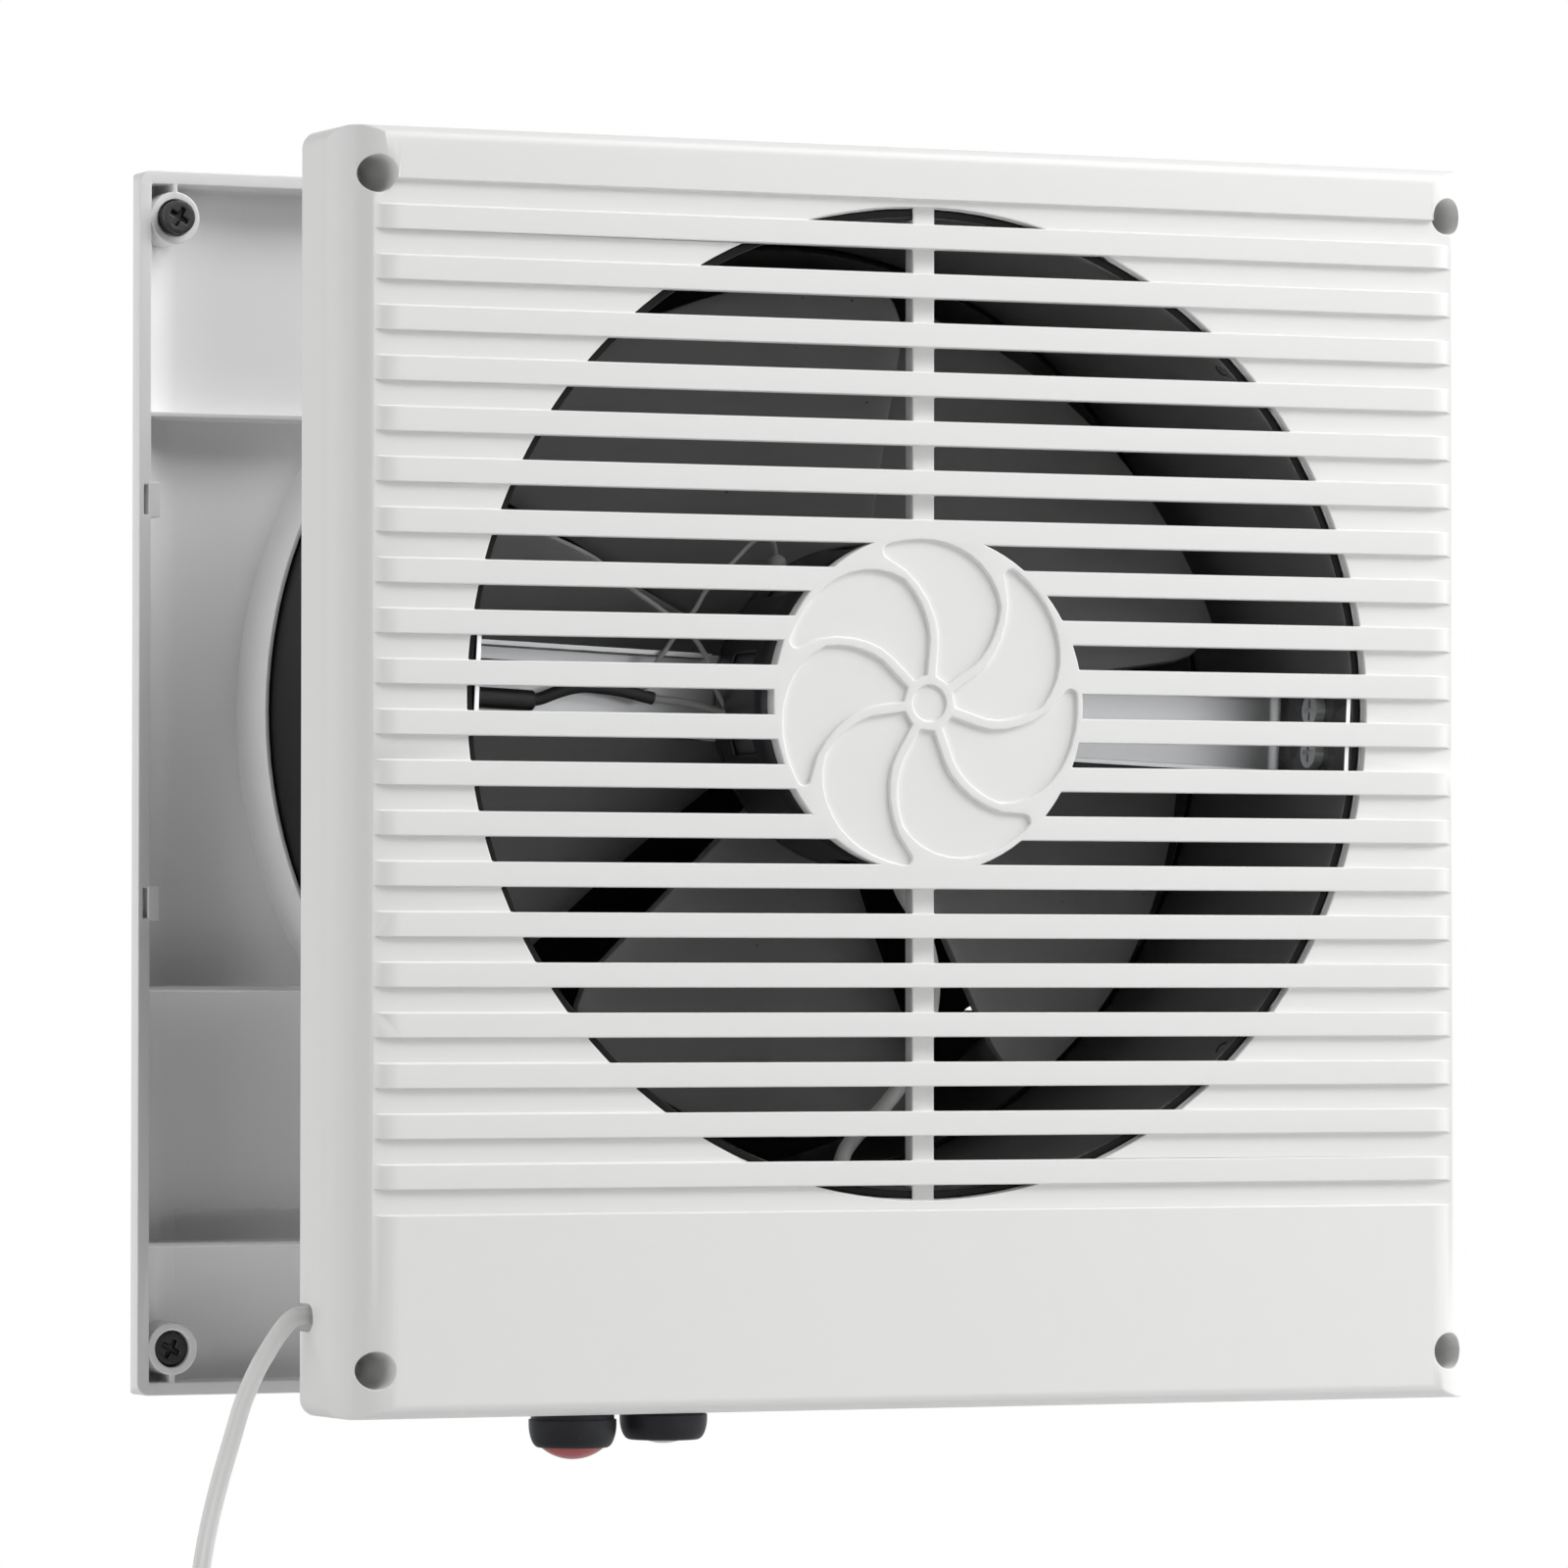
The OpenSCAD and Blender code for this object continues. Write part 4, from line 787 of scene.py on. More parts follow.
def turned(name: str, centre: Vector, profile: Sequence[tuple[float, float]], sides: int = 72
           ) -> bpy.types.Object:
    """Turns a closed profile about an upright axis.

    Args:
        name: the piece's name.
        centre: a point on the axis.
        profile: the outline's points, as radius and height over the centre, in millimetres.
        sides: how many steps the turn has.

    Returns:
        The turned body, with a hole where the outline stays off the axis.
    """
    points, faces, count = [], [], len(profile)
    for k in range(sides):
        a = math.tau * k / sides
        points += [centre + Vector((r * math.cos(a), r * math.sin(a), z)) * MM for r, z in profile]
    for k in range(sides):
        here, there = k * count, (k + 1) % sides * count
        faces += [(here + i, there + i, there + (i + 1) % count, here + (i + 1) % count)
                  for i in range(count) if profile[i][0] + profile[(i + 1) % count][0] > 0]
    body = mesh_piece(name, points, faces)
    face_outwards(body, weld=True)
    smooth(body, degrees=32)
    return body


def round_section(radius: float, sides: int) -> list[tuple[float, float]]:
    """A round section's points."""
    turn = math.tau / sides
    return [(radius * math.cos(turn * k), radius * math.sin(turn * k)) for k in range(sides)]


def quarter_turn(steps: int) -> list[float]:
    """The angles of a quarter turn in equal steps, both ends included."""
    return [math.radians(90 * k / steps) for k in range(steps + 1)]


# Parts of the frame with softened edges


def copy_node(node: str, name: str) -> bpy.types.Object:
    """Copies a node of the frame and joins its loose triangles.

    Args:
        node: the node's name.
        name: the new piece's name.

    Returns:
        The copy, as one closed mesh.
    """
    mesh = frame["nodes"][node].data.copy()
    mesh.name = name
    obj = bpy.data.objects.new(name, mesh)
    bpy.context.scene.collection.objects.link(obj)
    pick(obj)
    bpy.ops.mesh.customdata_custom_splitnormals_clear()
    bpy.ops.object.mode_set(mode="EDIT")
    bpy.ops.mesh.select_mode(type="VERT")
    bpy.ops.mesh.select_all(action="SELECT")
    bpy.ops.mesh.remove_doubles(threshold=WELD)
    bpy.ops.object.mode_set(mode="OBJECT")
    return obj


@dataclass(frozen=True)
class SoftEdges:
    """One part of the frame, copied and given rounded edges as a mould or a press leaves them.

    A point that lands more than stray widths off the part's surface is pulled back.
    """

    node: str
    piece: str
    finish: Finish
    carrier: Carrier
    width: float
    segments: int = 2
    degrees: float = 28.0
    stray: float = 1.2

    def build(self) -> bpy.types.Object:
        """Makes the softened part in the node's place.

        Returns:
            The new piece.
        """
        part = copy_node(self.node, self.piece)
        pick(part)
        bpy.ops.object.shade_smooth()
        round_edges(part, self.width, self.degrees, self.segments, use_clamp_overlap=False, loop_slide=False)
        self.pull_back(part)
        modify(part, "WEIGHTED_NORMAL", mode="FACE_AREA", weight=50)
        mount(part, self.finish, self.carrier, self.node)
        return part

    def pull_back(self, part: bpy.types.Object) -> None:
        """Brings points that the bevel threw off the surface back between their neighbours.

        Args:
            part: the bevelled part.
        """
        source = frame["nodes"][self.node]
        astray = set()
        for vertex in part.data.vertices:
            found, place, _, _ = source.closest_point_on_mesh(vertex.co)
            if found and (place - vertex.co).length > self.stray * self.width:
                astray.add(vertex.index)
        near: dict[int, list[Vector]] = {index: [] for index in astray}
        for edge in part.data.edges:
            a, b = edge.vertices
            if a in astray and b not in astray:
                near[a].append(part.data.vertices[b].co.copy())
            elif b in astray and a not in astray:
                near[b].append(part.data.vertices[a].co.copy())
        for index, places in near.items():
            if places:
                part.data.vertices[index].co = sum(places, Vector()) / len(places)
        log.info("%s: %d points pulled back", self.piece, len(astray))


@dataclass(frozen=True)
class SoftEdgesPaintedLight(SoftEdges):
    """A softened part with a second finish of painted light and shade on some of its faces."""

    painted_light_finish: Finish | None = None
    painted_light_faces: Callable[[bpy.types.MeshPolygon], bool] | None = None

    def build(self) -> bpy.types.Object:
        """Softens the part and gives the picked faces the painted finish.

        Returns:
            The new piece.
        """
        part = super().build()
        part.data.materials.append(self.painted_light_finish.material())
        for face in part.data.polygons:
            face.material_index = int(self.painted_light_faces(face))
        return part


def painted_light_face(face: bpy.types.MeshPolygon) -> bool:
    """Whether a face of a tube looks at the duct's axis, and so gets the duct's painted lighter inside."""
    x, z = face.center.x, face.center.z - DUCT_Z
    return face.normal.x * x + face.normal.z * z < -FACING * math.hypot(x, z)


def painted_reflection_face(face: bpy.types.MeshPolygon) -> bool:
    """Whether a face of the strap looks at the duct's wall and not along the duct, and so gets the painted
    dark reflection.
    """
    return abs(face.normal.y) < FACING


@dataclass(frozen=True)
class RoundLead:
    """A copy of a wire of the frame with a truly round section."""

    node: str
    piece: str
    finish: Finish

    def build(self) -> None:
        """Subdivides a copy of the wire and puts it in the wire's place."""
        lead = copy_node(self.node, self.piece)
        modify(lead, "SUBSURF", levels=1, render_levels=1)
        smooth(lead, degrees=70)
        mount(lead, self.finish, Carrier.HOUSING, self.node)


SOFT_PARTS: tuple[SoftEdges, ...] = (
    SoftEdges("front_cover", "front_moulding", WHITE_PLASTIC, Carrier.HOUSING, width=0.3 * MM),
    SoftEdges("rear_cover", "rear_moulding", REAR_PAINTED_LIGHT, Carrier.REAR, width=0.3 * MM),
    # The tubes' inward faces get a painted lighter grey in place of light inside the duct.
    SoftEdgesPaintedLight("front_sleeve", "duct_tube", BLACK_PLASTIC, Carrier.HOUSING, width=0.35 * MM, painted_light_finish=DUCT_PAINTED_LIGHT,
            painted_light_faces=painted_light_face),
    SoftEdgesPaintedLight("rear_sleeve", "rear_tube", BLACK_PLASTIC, Carrier.REAR, width=0.3 * MM, painted_light_finish=DUCT_PAINTED_LIGHT,
            painted_light_faces=painted_light_face),
    SoftEdges("motor_can", "motor_housing", MOTOR_PAINT, Carrier.HOUSING, width=0.8 * MM, segments=3),
    SoftEdges("rear_screws", "wall_screws", BLACK_STEEL, Carrier.REAR, width=0.35 * MM, segments=3),
    SoftEdges("wire_splices", "splice_sleeves", SPLICE, Carrier.HOUSING, width=0.5 * MM, segments=3),
    SoftEdges("cord_clamp", "clamp_bar", BLACK_PLASTIC, Carrier.HOUSING, width=0.3 * MM),
    # The strap's sideways faces get a painted dark reflection of the duct.
    SoftEdgesPaintedLight("motor_strap", "strap_bracket", GALVANISED, Carrier.HOUSING, width=0.15 * MM,
            painted_light_finish=GALVANISED_PAINTED_REFLECTION, painted_light_faces=painted_reflection_face),
)

CORD_TIE = SoftEdges("cord_tie", "tie_strap", TIE_NYLON, Carrier.HOUSING, width=0.4 * MM, segments=3)

ROUND_LEADS: tuple[RoundLead, ...] = (
    RoundLead("motor_lead", "mains_lead_inside", WHITE_WIRE),
    RoundLead("live_wire", "live_wire_brown", BROWN_WIRE),
    RoundLead("link_wire", "link_wire_brown", BROWN_WIRE),
)


# The motor's leads


@dataclass
class MotorLeads:
    """The sleeve from the splices, the thin wires from it to the motor, and the bush that one enters it by.

    The points that they pass and the bush's sizes are in millimetres.
    """

    sleeve_r: float = 1.5 * MM
    wire_r: float = 0.6 * MM
    bundle: float = 1.5
    steps: int = 6
    sides: int = 14
    bush_place: Vector = field(default_factory=lambda: Vector((-22.5, 10.0, 46.6)) * MM)
    bush_r: float = 2.3
    bush_l: float = 3.4
    bush_sides: int = 32
    dome_steps: int = 6
    sleeve: tuple[tuple[float, float, float], ...] = (
        (-85.5, 9.8, 17.6), (-82.5, 9.4, 17.9), (-79, 8.2, 19.3), (-75, 6.8, 20.5), (-71.4, 6, 20.7),
        (-63.6, 6, 19.9), (-55.7, 6, 18.2))
    inner_wire: tuple[tuple[float, float, float], ...] = (
        (-57, 6, 18.5), (-53.8, 5.8, 18), (-48, 5.5, 17.4), (-43, 5.4, 16.4), (-37.6, 5.4, 15))
    upper_wire: tuple[tuple[float, float, float], ...] = (
        (-101.5, 9.8, 24.9), (-104, 9.6, 25.6), (-106.4, 8.8, 31), (-104.4, 7.6, 43),
        (-98.5, 6.6, 55), (-93, 6, 59.6), (-87.5, 6, 58.6), (-82.3, 6, 55.5), (-70.7, 6, 50.4), (-62, 6, 44),
        (-53.8, 6, 38.8), (-45.6, 6, 32.6), (-41.2, 6, 26), (-39.9, 6, 21), (-37.5, 6, 16.5))
    loop_wire: tuple[tuple[float, float, float], ...] = (
        (-57, 6, 18.3), (-57.8, 5.6, 20.4), (-56.4, 5, 24.7), (-52.6, 5, 29.8), (-49.4, 5, 34.5),
        (-45.5, 5, 38.9), (-42.4, 5, 43.7), (-35.6, 5, 50.3), (-31, 5.6, 54.6), (-27, 7.4, 56.4),
        (-23.8, 9.4, 55), (-22.6, 10, 51))

    def strand(self, name: str, points: Sequence[tuple[float, float, float]], radius: float
               ) -> bpy.types.Object:
        """Sweeps one round strand.

        Args:
            name: its name.
            points: the points that it passes, in millimetres.
            radius: its radius.

        Returns:
            The strand.
        """
        path = curve_through([Vector(p) * MM for p in points], self.steps)
        return sweep(name, path, round_section(radius, self.sides))

    def bush(self) -> bpy.types.Object:
        """Turns the bush, with its rounded end up.

        Returns:
            The bush.
        """
        dome = [(self.bush_r * math.cos(a), self.bush_l + self.bush_r * math.sin(a))
                for a in quarter_turn(self.dome_steps)]
        return turned("bush", self.bush_place, [(0, 0), (self.bush_r, 0), *dome], self.bush_sides)

    def build(self) -> None:
        """Makes the wires and the bush in place of the frame's lead, and the sleeve."""
        inner = self.strand("inner_wire", self.inner_wire, self.bundle * self.wire_r)
        upper = self.strand("upper_wire", self.upper_wire, self.wire_r)
        loop = self.strand("loop_wire", self.loop_wire, self.wire_r)
        leads = join([inner, upper, loop, self.bush()], "motor_leads")
        mount(leads, GREY_WIRE, Carrier.HOUSING, "strap_lead")
        mount(self.strand("lead_sleeve", self.sleeve, self.sleeve_r), SPLICE, Carrier.HOUSING)


# The push buttons


@dataclass(frozen=True)
class PushButton:
    """One push button: a bezel that rounds in to its mouth, and a domed lens.

    Its sizes are in millimetres, and its centre lies in the cover's underside.
    """

    colour: str
    centre: Vector
    lens_finish: Finish
    carrier: Carrier
    neck: float
    head: float
    lens_out: float
    barrel_l: float = 17.0
    barrel_r: float = 8.0
    neck_r: float = 9.5
    outer_r: float = 10.0
    mouth_r: float = 7.55
    lip: float = 0.15
    shoulder: float = 0.9
    pocket: float = 3.0
    bore_r: float = 3.8
    lens_r: float = 7.35
    dome_r: float = 11.0
    drum_l: float = 5.0
    plunger_r: float = 3.6
    plunger_gap: float = 2.3
    edge: float = 0.18
    steps: int = 12

    def bezel(self) -> bpy.types.Object:
        """Turns the bezel with its barrel and its bore.

        Returns:
            The bezel.
        """
        floor = -self.neck - self.head
        lip_r, bend = self.mouth_r + self.lip, self.head - self.shoulder
        wall = [(lip_r + (self.outer_r - lip_r) * math.cos(a), floor + bend * (1 - math.sin(a)))
                for a in quarter_turn(self.steps)]
        profile = [(self.bore_r, self.barrel_l), (self.barrel_r, self.barrel_l), (self.barrel_r, 0.0),
                   (self.neck_r, 0.0), (self.neck_r, -self.neck), (self.outer_r, -self.neck), *wall,
                   (self.mouth_r, floor + self.lip), (self.mouth_r, self.pocket), (self.bore_r, self.pocket)]
        body = turned(f"{self.colour}_button_ring", self.centre, profile)
        round_edges(body, self.edge * MM, degrees=40)
        return body

    def lens(self) -> bpy.types.Object:
        """Turns the lens: a dome, its drum and the plunger that works the switch.

        Returns:
            The lens.
        """
        floor = -self.neck - self.head
        tip = floor - self.lens_out
        reach = [self.lens_r * k / self.steps for k in range(self.steps + 1)]
        dome = [(r, tip + self.dome_r - math.sqrt(self.dome_r ** 2 - r * r)) for r in reach]
        drum_top, plunger_top = floor + self.drum_l, self.barrel_l - self.plunger_gap
        profile = [*dome, (self.lens_r, drum_top), (self.plunger_r, drum_top), (self.plunger_r, plunger_top),
                   (0.0, plunger_top)]
        return turned(f"{self.colour}_button_lens", self.centre, profile)

    def build(self) -> None:
        """Makes the bezel and the lens in the frame's places."""
        mount(self.bezel(), BEZEL_PLASTIC, Carrier.HOUSING, f"{self.colour}_bezel")
        mount(self.lens(), self.lens_finish, self.carrier, f"{self.colour}_lens")


PUSH_BUTTONS: tuple[PushButton, ...] = (
    PushButton("red", Vector((-83.3, -12.2, -145.0)) * MM, RED_LENS, Carrier.RED_BUTTON, neck=1.3, head=6.4,
               lens_out=2.7),
    PushButton("pale", Vector((-60.8, -12.2, -145.0)) * MM, PALE_LENS, Carrier.PALE_BUTTON, neck=0.5,
               head=5.8, lens_out=0.9),
)


# Camera, light and floor


@dataclass(frozen=True)
class Lamp:
    """A soft lamp with its power in watts.

    Its direction from the fan is in degrees, from straight ahead towards +X and then up.
    """

    name: str
    azimuth: float
    height: float
    power: float


@dataclass
class Studio:
    """The camera, a plain floor under the hanging cord, and soft light from the right and the left.

    The camera's angles are in degrees, and its lens and sensor are in millimetres.
    """

    eye: Vector = field(default_factory=lambda: Vector((-877.1, -1878.9, -46.6)) * MM)
    yaw: float = 24.39
    pitch: float = 1.257
    roll: float = 0.046
    lens: float = 204.87
    sensor: float = 36.0
    nearest: float = 0.05
    farthest: float = 50.0
    lamps: tuple[Lamp, ...] = (
        Lamp("key_high", 33, 47, 16.5), Lamp("key_low", 26, 12, 4), Lamp("right_high", 62, 35, 12.5),
        Lamp("side_right", 75, 15, 11), Lamp("side_left", -80, 12, 8.5), Lamp("back_left", -110, 10, 7.2))
    lamp_distance: float = 1.9
    lamp_size: float = 1.0
    middle: Vector = field(default_factory=lambda: Vector((0.0, 0.04, 0.0)))
    floor_z: float = -0.42
    floor_size: float = 2.4
    floor_tone: float = 0.86
    floor_rough: float = 0.9
    fill: float = 0.07

    def place_camera(self) -> None:
        """Sets the camera at the picture's viewpoint."""
        data = bpy.data.cameras.new("viewpoint")
        data.lens = self.lens
        data.sensor_width = self.sensor
        data.clip_start, data.clip_end = self.nearest, self.farthest
        camera = bpy.data.objects.new("viewpoint", data)
        turn = (Matrix.Rotation(math.radians(-self.yaw), 4, "Z")
                @ Matrix.Rotation(math.radians(90 + self.pitch), 4, "X")
                @ Matrix.Rotation(math.radians(self.roll), 4, "Z"))
        camera.matrix_world = Matrix.Translation(self.eye) @ turn
        bpy.context.scene.collection.objects.link(camera)
        bpy.context.scene.camera = camera

    def hang(self, lamp: Lamp) -> None:
        """Hangs one square lamp that looks at the fan.

        Args:
            lamp: its direction and power.
        """
        data = bpy.data.lights.new(lamp.name, "AREA")
        data.shape, data.size, data.energy = "SQUARE", self.lamp_size, lamp.power
        hung = bpy.data.objects.new(lamp.name, data)
        a, e = math.radians(lamp.azimuth), math.radians(lamp.height)
        out = Vector((math.sin(a) * math.cos(e), -math.cos(a) * math.cos(e), math.sin(e)))
        hung.location = self.middle + out * self.lamp_distance
        hung.rotation_mode = "QUATERNION"
        hung.rotation_quaternion = (-out).to_track_quat("-Z", "Y")
        bpy.context.scene.collection.objects.link(hung)

    def paint_world(self) -> None:
        """Makes the world white where it is seen or mirrored, and a soft fill where it lights."""
        world = bpy.data.worlds.new("white_room")
        bpy.context.scene.world = world
        world.use_nodes = True
        world.node_tree.nodes.clear()
        bench = NodeBench(world.node_tree)
        path = bench.add("ShaderNodeLightPath")
        seen = bench.maths("MAXIMUM", path.outputs["Is Camera Ray"], path.outputs["Is Transmission Ray"])
        seen = bench.maths("MAXIMUM", seen, path.outputs["Is Glossy Ray"])
        strength = bench.add("ShaderNodeMix", data_type="FLOAT")
        bench.link(seen, strength.inputs[0])
        strength.inputs[2].default_value = self.fill
        strength.inputs[3].default_value = 1.0
        background = bench.add("ShaderNodeBackground")
        background.inputs["Color"].default_value = rgba(grey(1.0))
        bench.link(strength.outputs[0], background.inputs["Strength"])
        output = bench.add("ShaderNodeOutputWorld")
        bench.link(background.outputs["Background"], output.inputs["Surface"])

    def lay_floor(self) -> None:
        """Lays a plain pale floor below the hanging cord."""
        deselect()
        bpy.ops.mesh.primitive_plane_add(size=self.floor_size, location=(0, 0, self.floor_z))
        floor = settle(bpy.context.object, "floor")
        material = bpy.data.materials.new("floor_pale")
        material.use_nodes = True
        shader = material.node_tree.nodes["Principled BSDF"]
        shader.inputs["Base Color"].default_value = rgba(grey(self.floor_tone))
        shader.inputs["Roughness"].default_value = self.floor_rough
        floor.data.materials.append(material)

    def build(self) -> None:
        """Lights the fan and sets the view's colours."""
        bpy.context.scene.view_settings.view_transform = "Standard"
        self.paint_world()
        self.lay_floor()
        for lamp in self.lamps:
            self.hang(lamp)
        log.info("studio: %d lamps", len(self.lamps))


# The mains cord


@dataclass
class MainsCord:
    """A flat twin cord out of the front cover's notch, wound in a coil below the picture's edge.

    The points that it passes are in millimetres, first from the notch and then from the coil's end.
    """

    half_width: float = 2.1 * MM
    core: float = 1.24 * MM
    turn_gap: float = 0.5 * MM
    loops: int = 3
    layers: int = 4
    climb: float = 0.5
    coil_r: float = 30.5 * MM
    rings_per_turn: int = 48
    rings_per_step: int = 4
    core_sides: int = 9
    exit: Vector = field(default_factory=lambda: Vector((-145.0, -5.0, -122.7)) * MM)
    length: float = 1.96
    steps: tuple[tuple[float, float, float], ...] = (
        (27, 0, 0), (17, 0, 0), (7, 0, 0.1), (0, 0, 0.6), (-3.6, 0, -0.1), (-6.6, 0, -3.1), (-9.6, 0, -7.4),
        (-12.5, 0, -12.2), (-15.5, 0, -18.9), (-18, 0, -26.7), (-20.4, 0, -34.3), (-22.6, 0, -42.3),
        (-24.2, 0, -49.3), (-25.4, 0, -56.3), (-26.4, 0, -65.3), (-27, 0, -75.3), (-27, 0, -82.3),
        (-27, 0, -89.3))
    tail_steps: tuple[tuple[float, float, float], ...] = (
        (0, 0, 0), (0, 0, -6), (0, 0.6, -13), (0, 2, -20), (0, 4.2, -27), (0, 6.4, -34), (0, 8.2, -41),
        (0, 9.1, -48), (0, 9.3, -54), (0, 9.3, -60))

    @property
    def pitch(self) -> float:
        """Distance from turn to turn."""
        return 2 * self.half_width + self.turn_gap

    def coil_layer(self, wound: float) -> float:
        """How far the cord has climbed from layer to layer.

        Args:
            wound: how many loops are wound so far.

        Returns:
            The layers climbed.
        """
        climbed = 0.0
        for k in range(1, self.layers):
            t = min(max((wound - self.loops * k + self.climb / 2) / self.climb, 0.0), 1.0)
            climbed += t * t * (3 - 2 * t)
        return climbed

    def coil(self, middle: Vector) -> list[Vector]:
        """The coil's centreline round its middle.

        Args:
            middle: the coil's middle, in its first layer.

        Returns:
            The ring centres, from the left side and back to it.
        """
        inner = self.coil_r - self.loops * self.pitch
        total = self.loops * self.layers
        points = []
        for i in range(self.rings_per_turn * total + 1):
            wound = i / self.rings_per_turn
            leg = wound / self.loops
            radius = inner + (self.coil_r - inner) * abs(1 - (leg - 2 * math.floor(leg / 2)))
            a = math.tau * wound
            points.append(middle + Vector((-radius * math.cos(a), -self.pitch * self.coil_layer(wound),
                                           -radius * math.sin(a))))
        return points

    def path(self) -> list[Vector]:
        """Runs the cord from the clamp through the notch and the coil to the plug.

        Returns:
            Its ring centres.
        """
        route = curve_through([self.exit + Vector(p) * MM for p in self.steps], self.rings_per_step)
        straight = Vector((0, 0, 2 * self.half_width))
        coil = self.coil(route[-1] + Vector((self.coil_r, 0, 0)) - straight)
        end = coil[-1] - straight
        tail = curve_through([end + Vector(p) * MM for p in self.tail_steps], self.rings_per_step)
        return route + coil + tail

    def section(self) -> list[tuple[float, float]]:
        """Draws two round cores side by side, moulded into one jacket.

        Returns:
            The section's points.
        """
        centre = self.half_width - self.core
        waist = math.acos(-centre / self.core)
        half = [-waist + 2 * waist * k / self.core_sides for k in range(self.core_sides + 1)]
        right = [(centre + self.core * math.cos(a), self.core * math.sin(a)) for a in half]
        return right + [(-x, -y) for x, y in right][1:-1]

    def build(self) -> None:
        path = self.path()
        jacket = sweep("mains_cord", path, self.section())
        mount(jacket, CORD_VINYL, Carrier.HOUSING, "cord", "cord_coil", "cord_tail")
        tie = CORD_TIE.build()
        MainsPlug().build()


# The plug


@dataclass
class MainsPlug:
    """A flat moulded plug with a ribbed neck, grip ridges and two drilled blades.

    The rings, each a depth, half a width and half a thickness, are in millimetres, and so are the depths
    and the half sizes of the squaring.
    """

    top: Vector = field(default_factory=lambda: Vector((-172.0, -9.8, -280.4)) * MM)
    blade_out: float = 6.35 * MM
    blade: Vector = field(default_factory=lambda: Vector((1.5, 6.4, 16.0)) * MM)
    body_l: float = 34 * MM
    body_sides: int = 40
    body_edge: float = 0.25 * MM
    blade_edge: float = 0.3 * MM
    hole_r: float = 1.55 * MM
    hole_drop: float = 4.4 * MM
    drill_l: float = 6 * MM
    drill_sides: int = 24
    square_from: float = 15.0
    square_over: float = 6.0
    square_x: float = 12
    square_y: float = 8
    squareness: float = 0.55
    corner_push: float = 1.22
    rings: tuple[tuple[float, float, float], ...] = (
        (0.0, 3.1, 2.9), (1.4, 3.9, 3.4), (2.2, 3.9, 3.4), (2.8, 3.2, 2.9), (4.2, 3.2, 2.9), (4.8, 4.2, 3.7),
        (6.0, 4.2, 3.7), (6.6, 3.4, 3.1), (8.0, 3.4, 3.1), (8.6, 4.6, 4.0), (9.8, 4.6, 4.0),
        (10.4, 3.7, 3.4), (11.8, 3.7, 3.4), (12.4, 5.0, 4.4), (13.6, 5.1, 4.5), (14.4, 4.6, 4.3),
        (16.4, 6.0, 5.0),
        (18.6, 9.4, 6.4), (21.4, 11.4, 7.4), (23.2, 11.9, 7.8), (24.0, 11.4, 7.3), (24.8, 11.9, 7.8),
        (25.6, 11.4, 7.3), (26.4, 11.9, 7.8), (27.2, 11.4, 7.3), (28.0, 11.9, 7.8), (32.6, 11.9, 7.8),
        (33.7, 11.3, 7.2), (34.0, 10.4, 6.4))

    def body(self) -> bpy.types.Object:
        """Pulls the body out of one ring, section by section.

        Returns:
            The plug's body.
        """
        _, wide, thick = self.rings[0]
        deselect()
        bpy.ops.mesh.primitive_circle_add(vertices=self.body_sides, radius=1.0, fill_type="NGON",
                                          location=self.top)
        body = bpy.context.object
        pick(body)
        bpy.ops.object.mode_set(mode="EDIT")
        bpy.ops.mesh.select_all(action="SELECT")
        bpy.ops.transform.resize(value=(wide * MM, thick * MM, 1), center_override=self.top)
        for (z0, a0, b0), (z1, a1, b1) in zip(self.rings, self.rings[1:]):
            bpy.ops.mesh.extrude_region_move(TRANSFORM_OT_translate={"value": (0, 0, (z0 - z1) * MM)})
            centre = self.top - Vector((0, 0, z1 * MM))
            bpy.ops.transform.resize(value=(a1 / a0, b1 / b0, 1), center_override=centre)
        bpy.ops.mesh.select_all(action="SELECT")
        bpy.ops.mesh.normals_make_consistent(inside=False)
        bpy.ops.object.mode_set(mode="OBJECT")
        self.square_up(body)
        round_edges(body, self.body_edge, degrees=35)
        body = settle(body, "plug_moulding")
        smooth(body, degrees=50)
        return body

    def square_up(self, body: bpy.types.Object) -> None:
        """Pushes the wide part's round section out towards a rounded rectangle.

        Args:
            body: the plug's body, in place.
        """
        for vertex in body.data.vertices:
            depth = (self.top.z - (vertex.co.z + body.location.z)) / MM
            strength = min(max((depth - self.square_from) / self.square_over, 0.0), 1.0)
            x, y = vertex.co.x, vertex.co.y
            across, along = x / (self.square_x * MM), y / (self.square_y * MM)
            reach = max(abs(across), abs(along), 1e-6)
            push = (math.hypot(across, along) / reach) ** self.squareness
            push = 1 + (min(push, self.corner_push) - 1) * strength
            vertex.co.x, vertex.co.y = x * push, y * push

    def blades(self) -> bpy.types.Object:
        """Makes both blades, with rounded tips and a hole near each tip.

        Returns:
            The blades.
        """
        made = []
        for side in (-1, 1):
            middle = self.top + Vector((side * self.blade_out, 0, -self.body_l - self.blade.z / 2))
            deselect()
            bpy.ops.mesh.primitive_cube_add(size=1.0, location=middle)
            blade = bpy.context.object
            blade.scale = self.blade
            blade = settle(blade, "blade")
            deselect()
            bpy.ops.mesh.primitive_cylinder_add(vertices=self.drill_sides, radius=self.hole_r,
                                                depth=self.drill_l,
                                                location=middle - Vector((0, 0, self.hole_drop)),
                                                rotation=(0, math.pi / 2, 0))
            drill = bpy.context.object
            modify(blade, "BOOLEAN", operation="DIFFERENCE", object=drill, solver="EXACT")
            bpy.data.objects.remove(drill, do_unlink=True)
            round_edges(blade, self.blade_edge, degrees=40)
            made.append(blade)
        pair = join(made, "plug_pins")
        smooth(pair, degrees=40)
        return pair

    def build(self) -> list[bpy.types.Object]:
        """Makes the plug.

        Returns:
            Its body and its blades.
        """
        body, pins = self.body(), self.blades()
        mount(body, CORD_VINYL, Carrier.HOUSING, "plug_body")
        mount(pins, BRASS, Carrier.HOUSING, "plug_blades")
        return [body, pins]


# The fan wheel


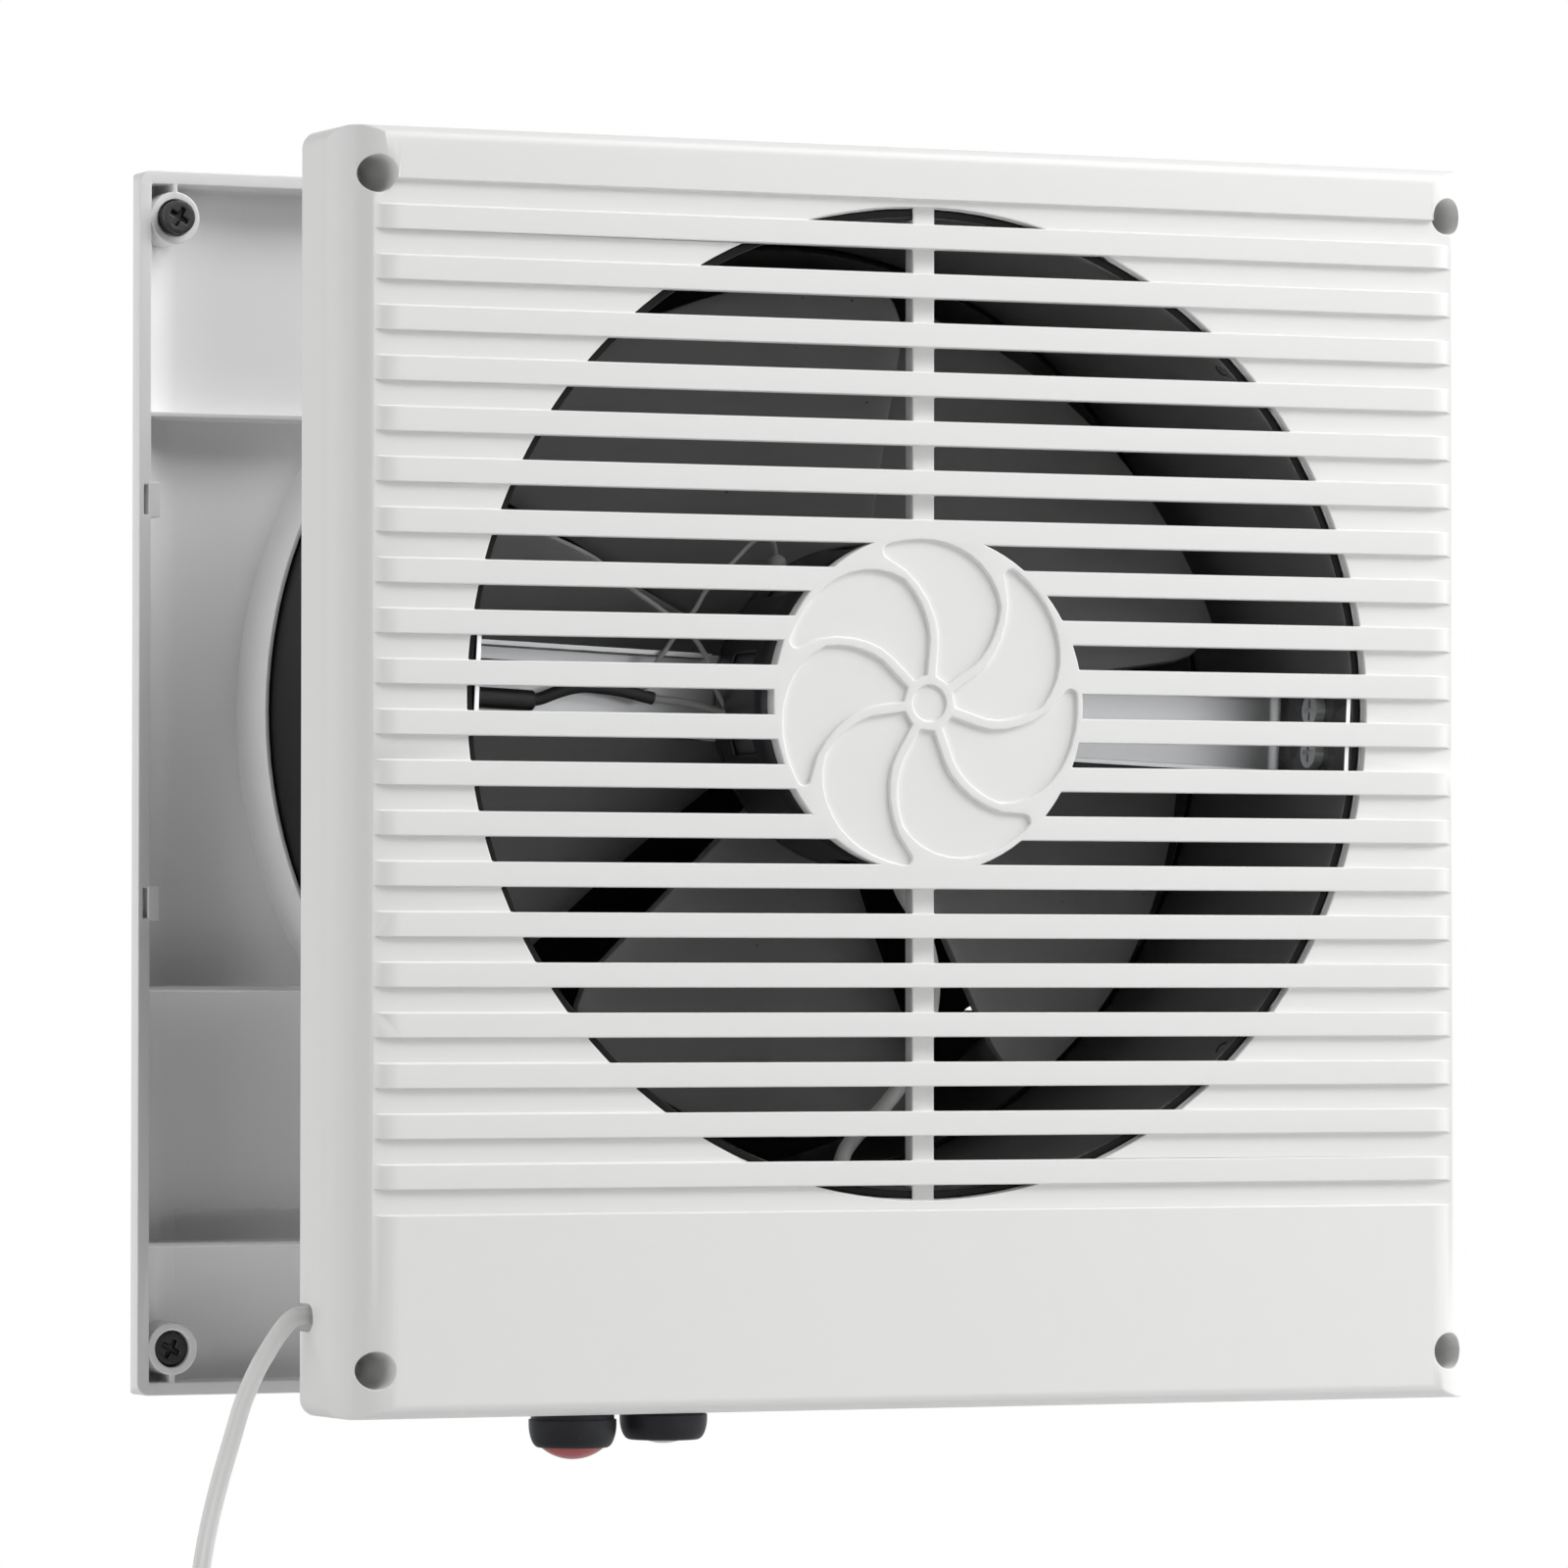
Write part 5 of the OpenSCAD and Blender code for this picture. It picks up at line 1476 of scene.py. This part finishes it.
@dataclass
class FanWheel:
    """Five wide blades on a hollow hub, smooth where the frame's blades are faceted."""

    blades: int = 5
    first_edge: float = 8.0
    span: float = 64.0
    flare: float = 4.0
    tip_inset: float = 4.0
    tip_share: float = 0.2
    tip_curve: float = 2.2
    reach_curve: float = 0.85
    bow: float = 0.1
    root_depth: float = 22 * MM
    tip_depth: float = 27 * MM
    thickness: float = 2.2 * MM
    blade_edge: float = 0.6 * MM
    set_back: float = 2.2 * MM
    hub_r: float = 22 * MM
    hub_sides: int = 96
    hub_edge: float = 1.2 * MM
    hub_wall: float = 2 * MM
    hub_l: float = 28 * MM
    hub_floor: float = 2.5 * MM
    root_sink: float = 1 * MM
    boss_r: float = 7 * MM
    boss_drop: float = 9 * MM
    rows: int = 17
    cols: int = 21
    front_y: float = field(init=False)
    axis_z: float = field(init=False)
    tip_r: float = field(init=False)

    def __post_init__(self) -> None:
        """Takes the wheel's place and reach from the frame."""
        low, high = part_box("impeller")
        self.front_y = low.y
        shaft_low, shaft_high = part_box("motor_shaft")
        self.axis_z = (shaft_low.z + shaft_high.z) / 2
        self.tip_r = max(high.x, -low.x)

    def surface(self, u: float, v: float, turn: float) -> Vector:
        """A point of a blade's middle surface.

        Args:
            u: 0 at the root, 1 at the tip.
            v: 0 at the near edge, 1 at the far edge.
            turn: the near edge's angle in degrees.

        Returns:
            The point.
        """
        root = self.hub_r - self.root_sink
        radius = root + (self.tip_r - root) * u ** self.reach_curve
        inset = self.tip_inset * max(0.0, (u - (1 - self.tip_share)) / self.tip_share) ** self.tip_curve
        wide = self.span + self.flare * u
        angle = inset + (wide - 2 * inset) * v
        t = angle / (self.span + self.flare)
        depth = self.root_depth + (self.tip_depth - self.root_depth) * u
        y = self.front_y + self.set_back + depth * (t + self.bow * math.sin(math.pi * t))
        a = math.radians(turn + angle)
        return Vector((radius * math.cos(a), y, self.axis_z + radius * math.sin(a)))

    def blade(self, index: int) -> bpy.types.Object:
        """Shapes one blade from a flat grid.

        Args:
            index: which blade.

        Returns:
            The blade.
        """
        deselect()
        bpy.ops.mesh.primitive_grid_add(x_subdivisions=self.rows - 1, y_subdivisions=self.cols - 1, size=1)
        blade = bpy.context.object
        turn = self.first_edge + index * 360 / self.blades
        for vertex in blade.data.vertices:
            vertex.co = self.surface(vertex.co.x + 0.5, vertex.co.y + 0.5, turn)
        modify(blade, "SOLIDIFY", thickness=self.thickness, offset=0.0)
        round_edges(blade, self.blade_edge, degrees=50)
        return blade

    def hub(self) -> bpy.types.Object:
        """Turns the hub: a cup with a boss for the shaft.

        Returns:
            The hub.
        """
        deselect()
        bpy.ops.mesh.primitive_cylinder_add(vertices=self.hub_sides, radius=self.hub_r, depth=self.hub_l,
                                            location=(0, self.front_y + self.hub_l / 2, self.axis_z),
                                            rotation=(math.pi / 2, 0, 0))
        hub = settle(bpy.context.object, "hub")
        pick(hub)
        bpy.ops.object.mode_set(mode="EDIT")
        bpy.ops.mesh.select_mode(type="FACE")
        bpy.ops.mesh.select_all(action="DESELECT")
        bpy.ops.object.mode_set(mode="OBJECT")
        for face in hub.data.polygons:
            face.select = face.normal.y > FACING
        bpy.ops.object.mode_set(mode="EDIT")
        bpy.ops.mesh.inset(thickness=self.hub_wall)
        bpy.ops.transform.translate(value=(0, self.hub_floor - self.hub_l, 0))
        bpy.ops.mesh.inset(thickness=self.hub_r - self.hub_wall - self.boss_r)
        bpy.ops.transform.translate(value=(0, self.hub_l - self.boss_drop, 0))
        bpy.ops.object.mode_set(mode="OBJECT")
        round_edges(hub, self.hub_edge, degrees=40, segments=3)
        return hub

    def build(self) -> None:
        """Joins the hub and the blades into one moulding."""
        wheel = join([self.hub(), *(self.blade(k) for k in range(self.blades))], "fan_wheel_moulding")
        smooth(wheel, degrees=40)
        mount(wheel, IMPELLER_PLASTIC, Carrier.WHEEL, "impeller")


# The frame's own nodes


def dress_nodes() -> None:
    """Gives every node of the frame its finish."""
    for name, node in frame["nodes"].items():
        dress(node, NODE_FINISHES[name])
    log.info("nodes: %d dressed", len(frame["nodes"]))


def main() -> None:
    """Builds the fan's dressed model round the frame, and the studio round it."""
    studio = Studio()
    studio.place_camera()
    MainsCord().build()
    dress_nodes()
    for piece in (*SOFT_PARTS, *ROUND_LEADS, MotorLeads(), *PUSH_BUTTONS, FanWheel(), studio):
        piece.build()


if __name__ == "__main__":
    logging.basicConfig(level=logging.INFO, format="%(name)s: %(message)s")
    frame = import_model()
    main()
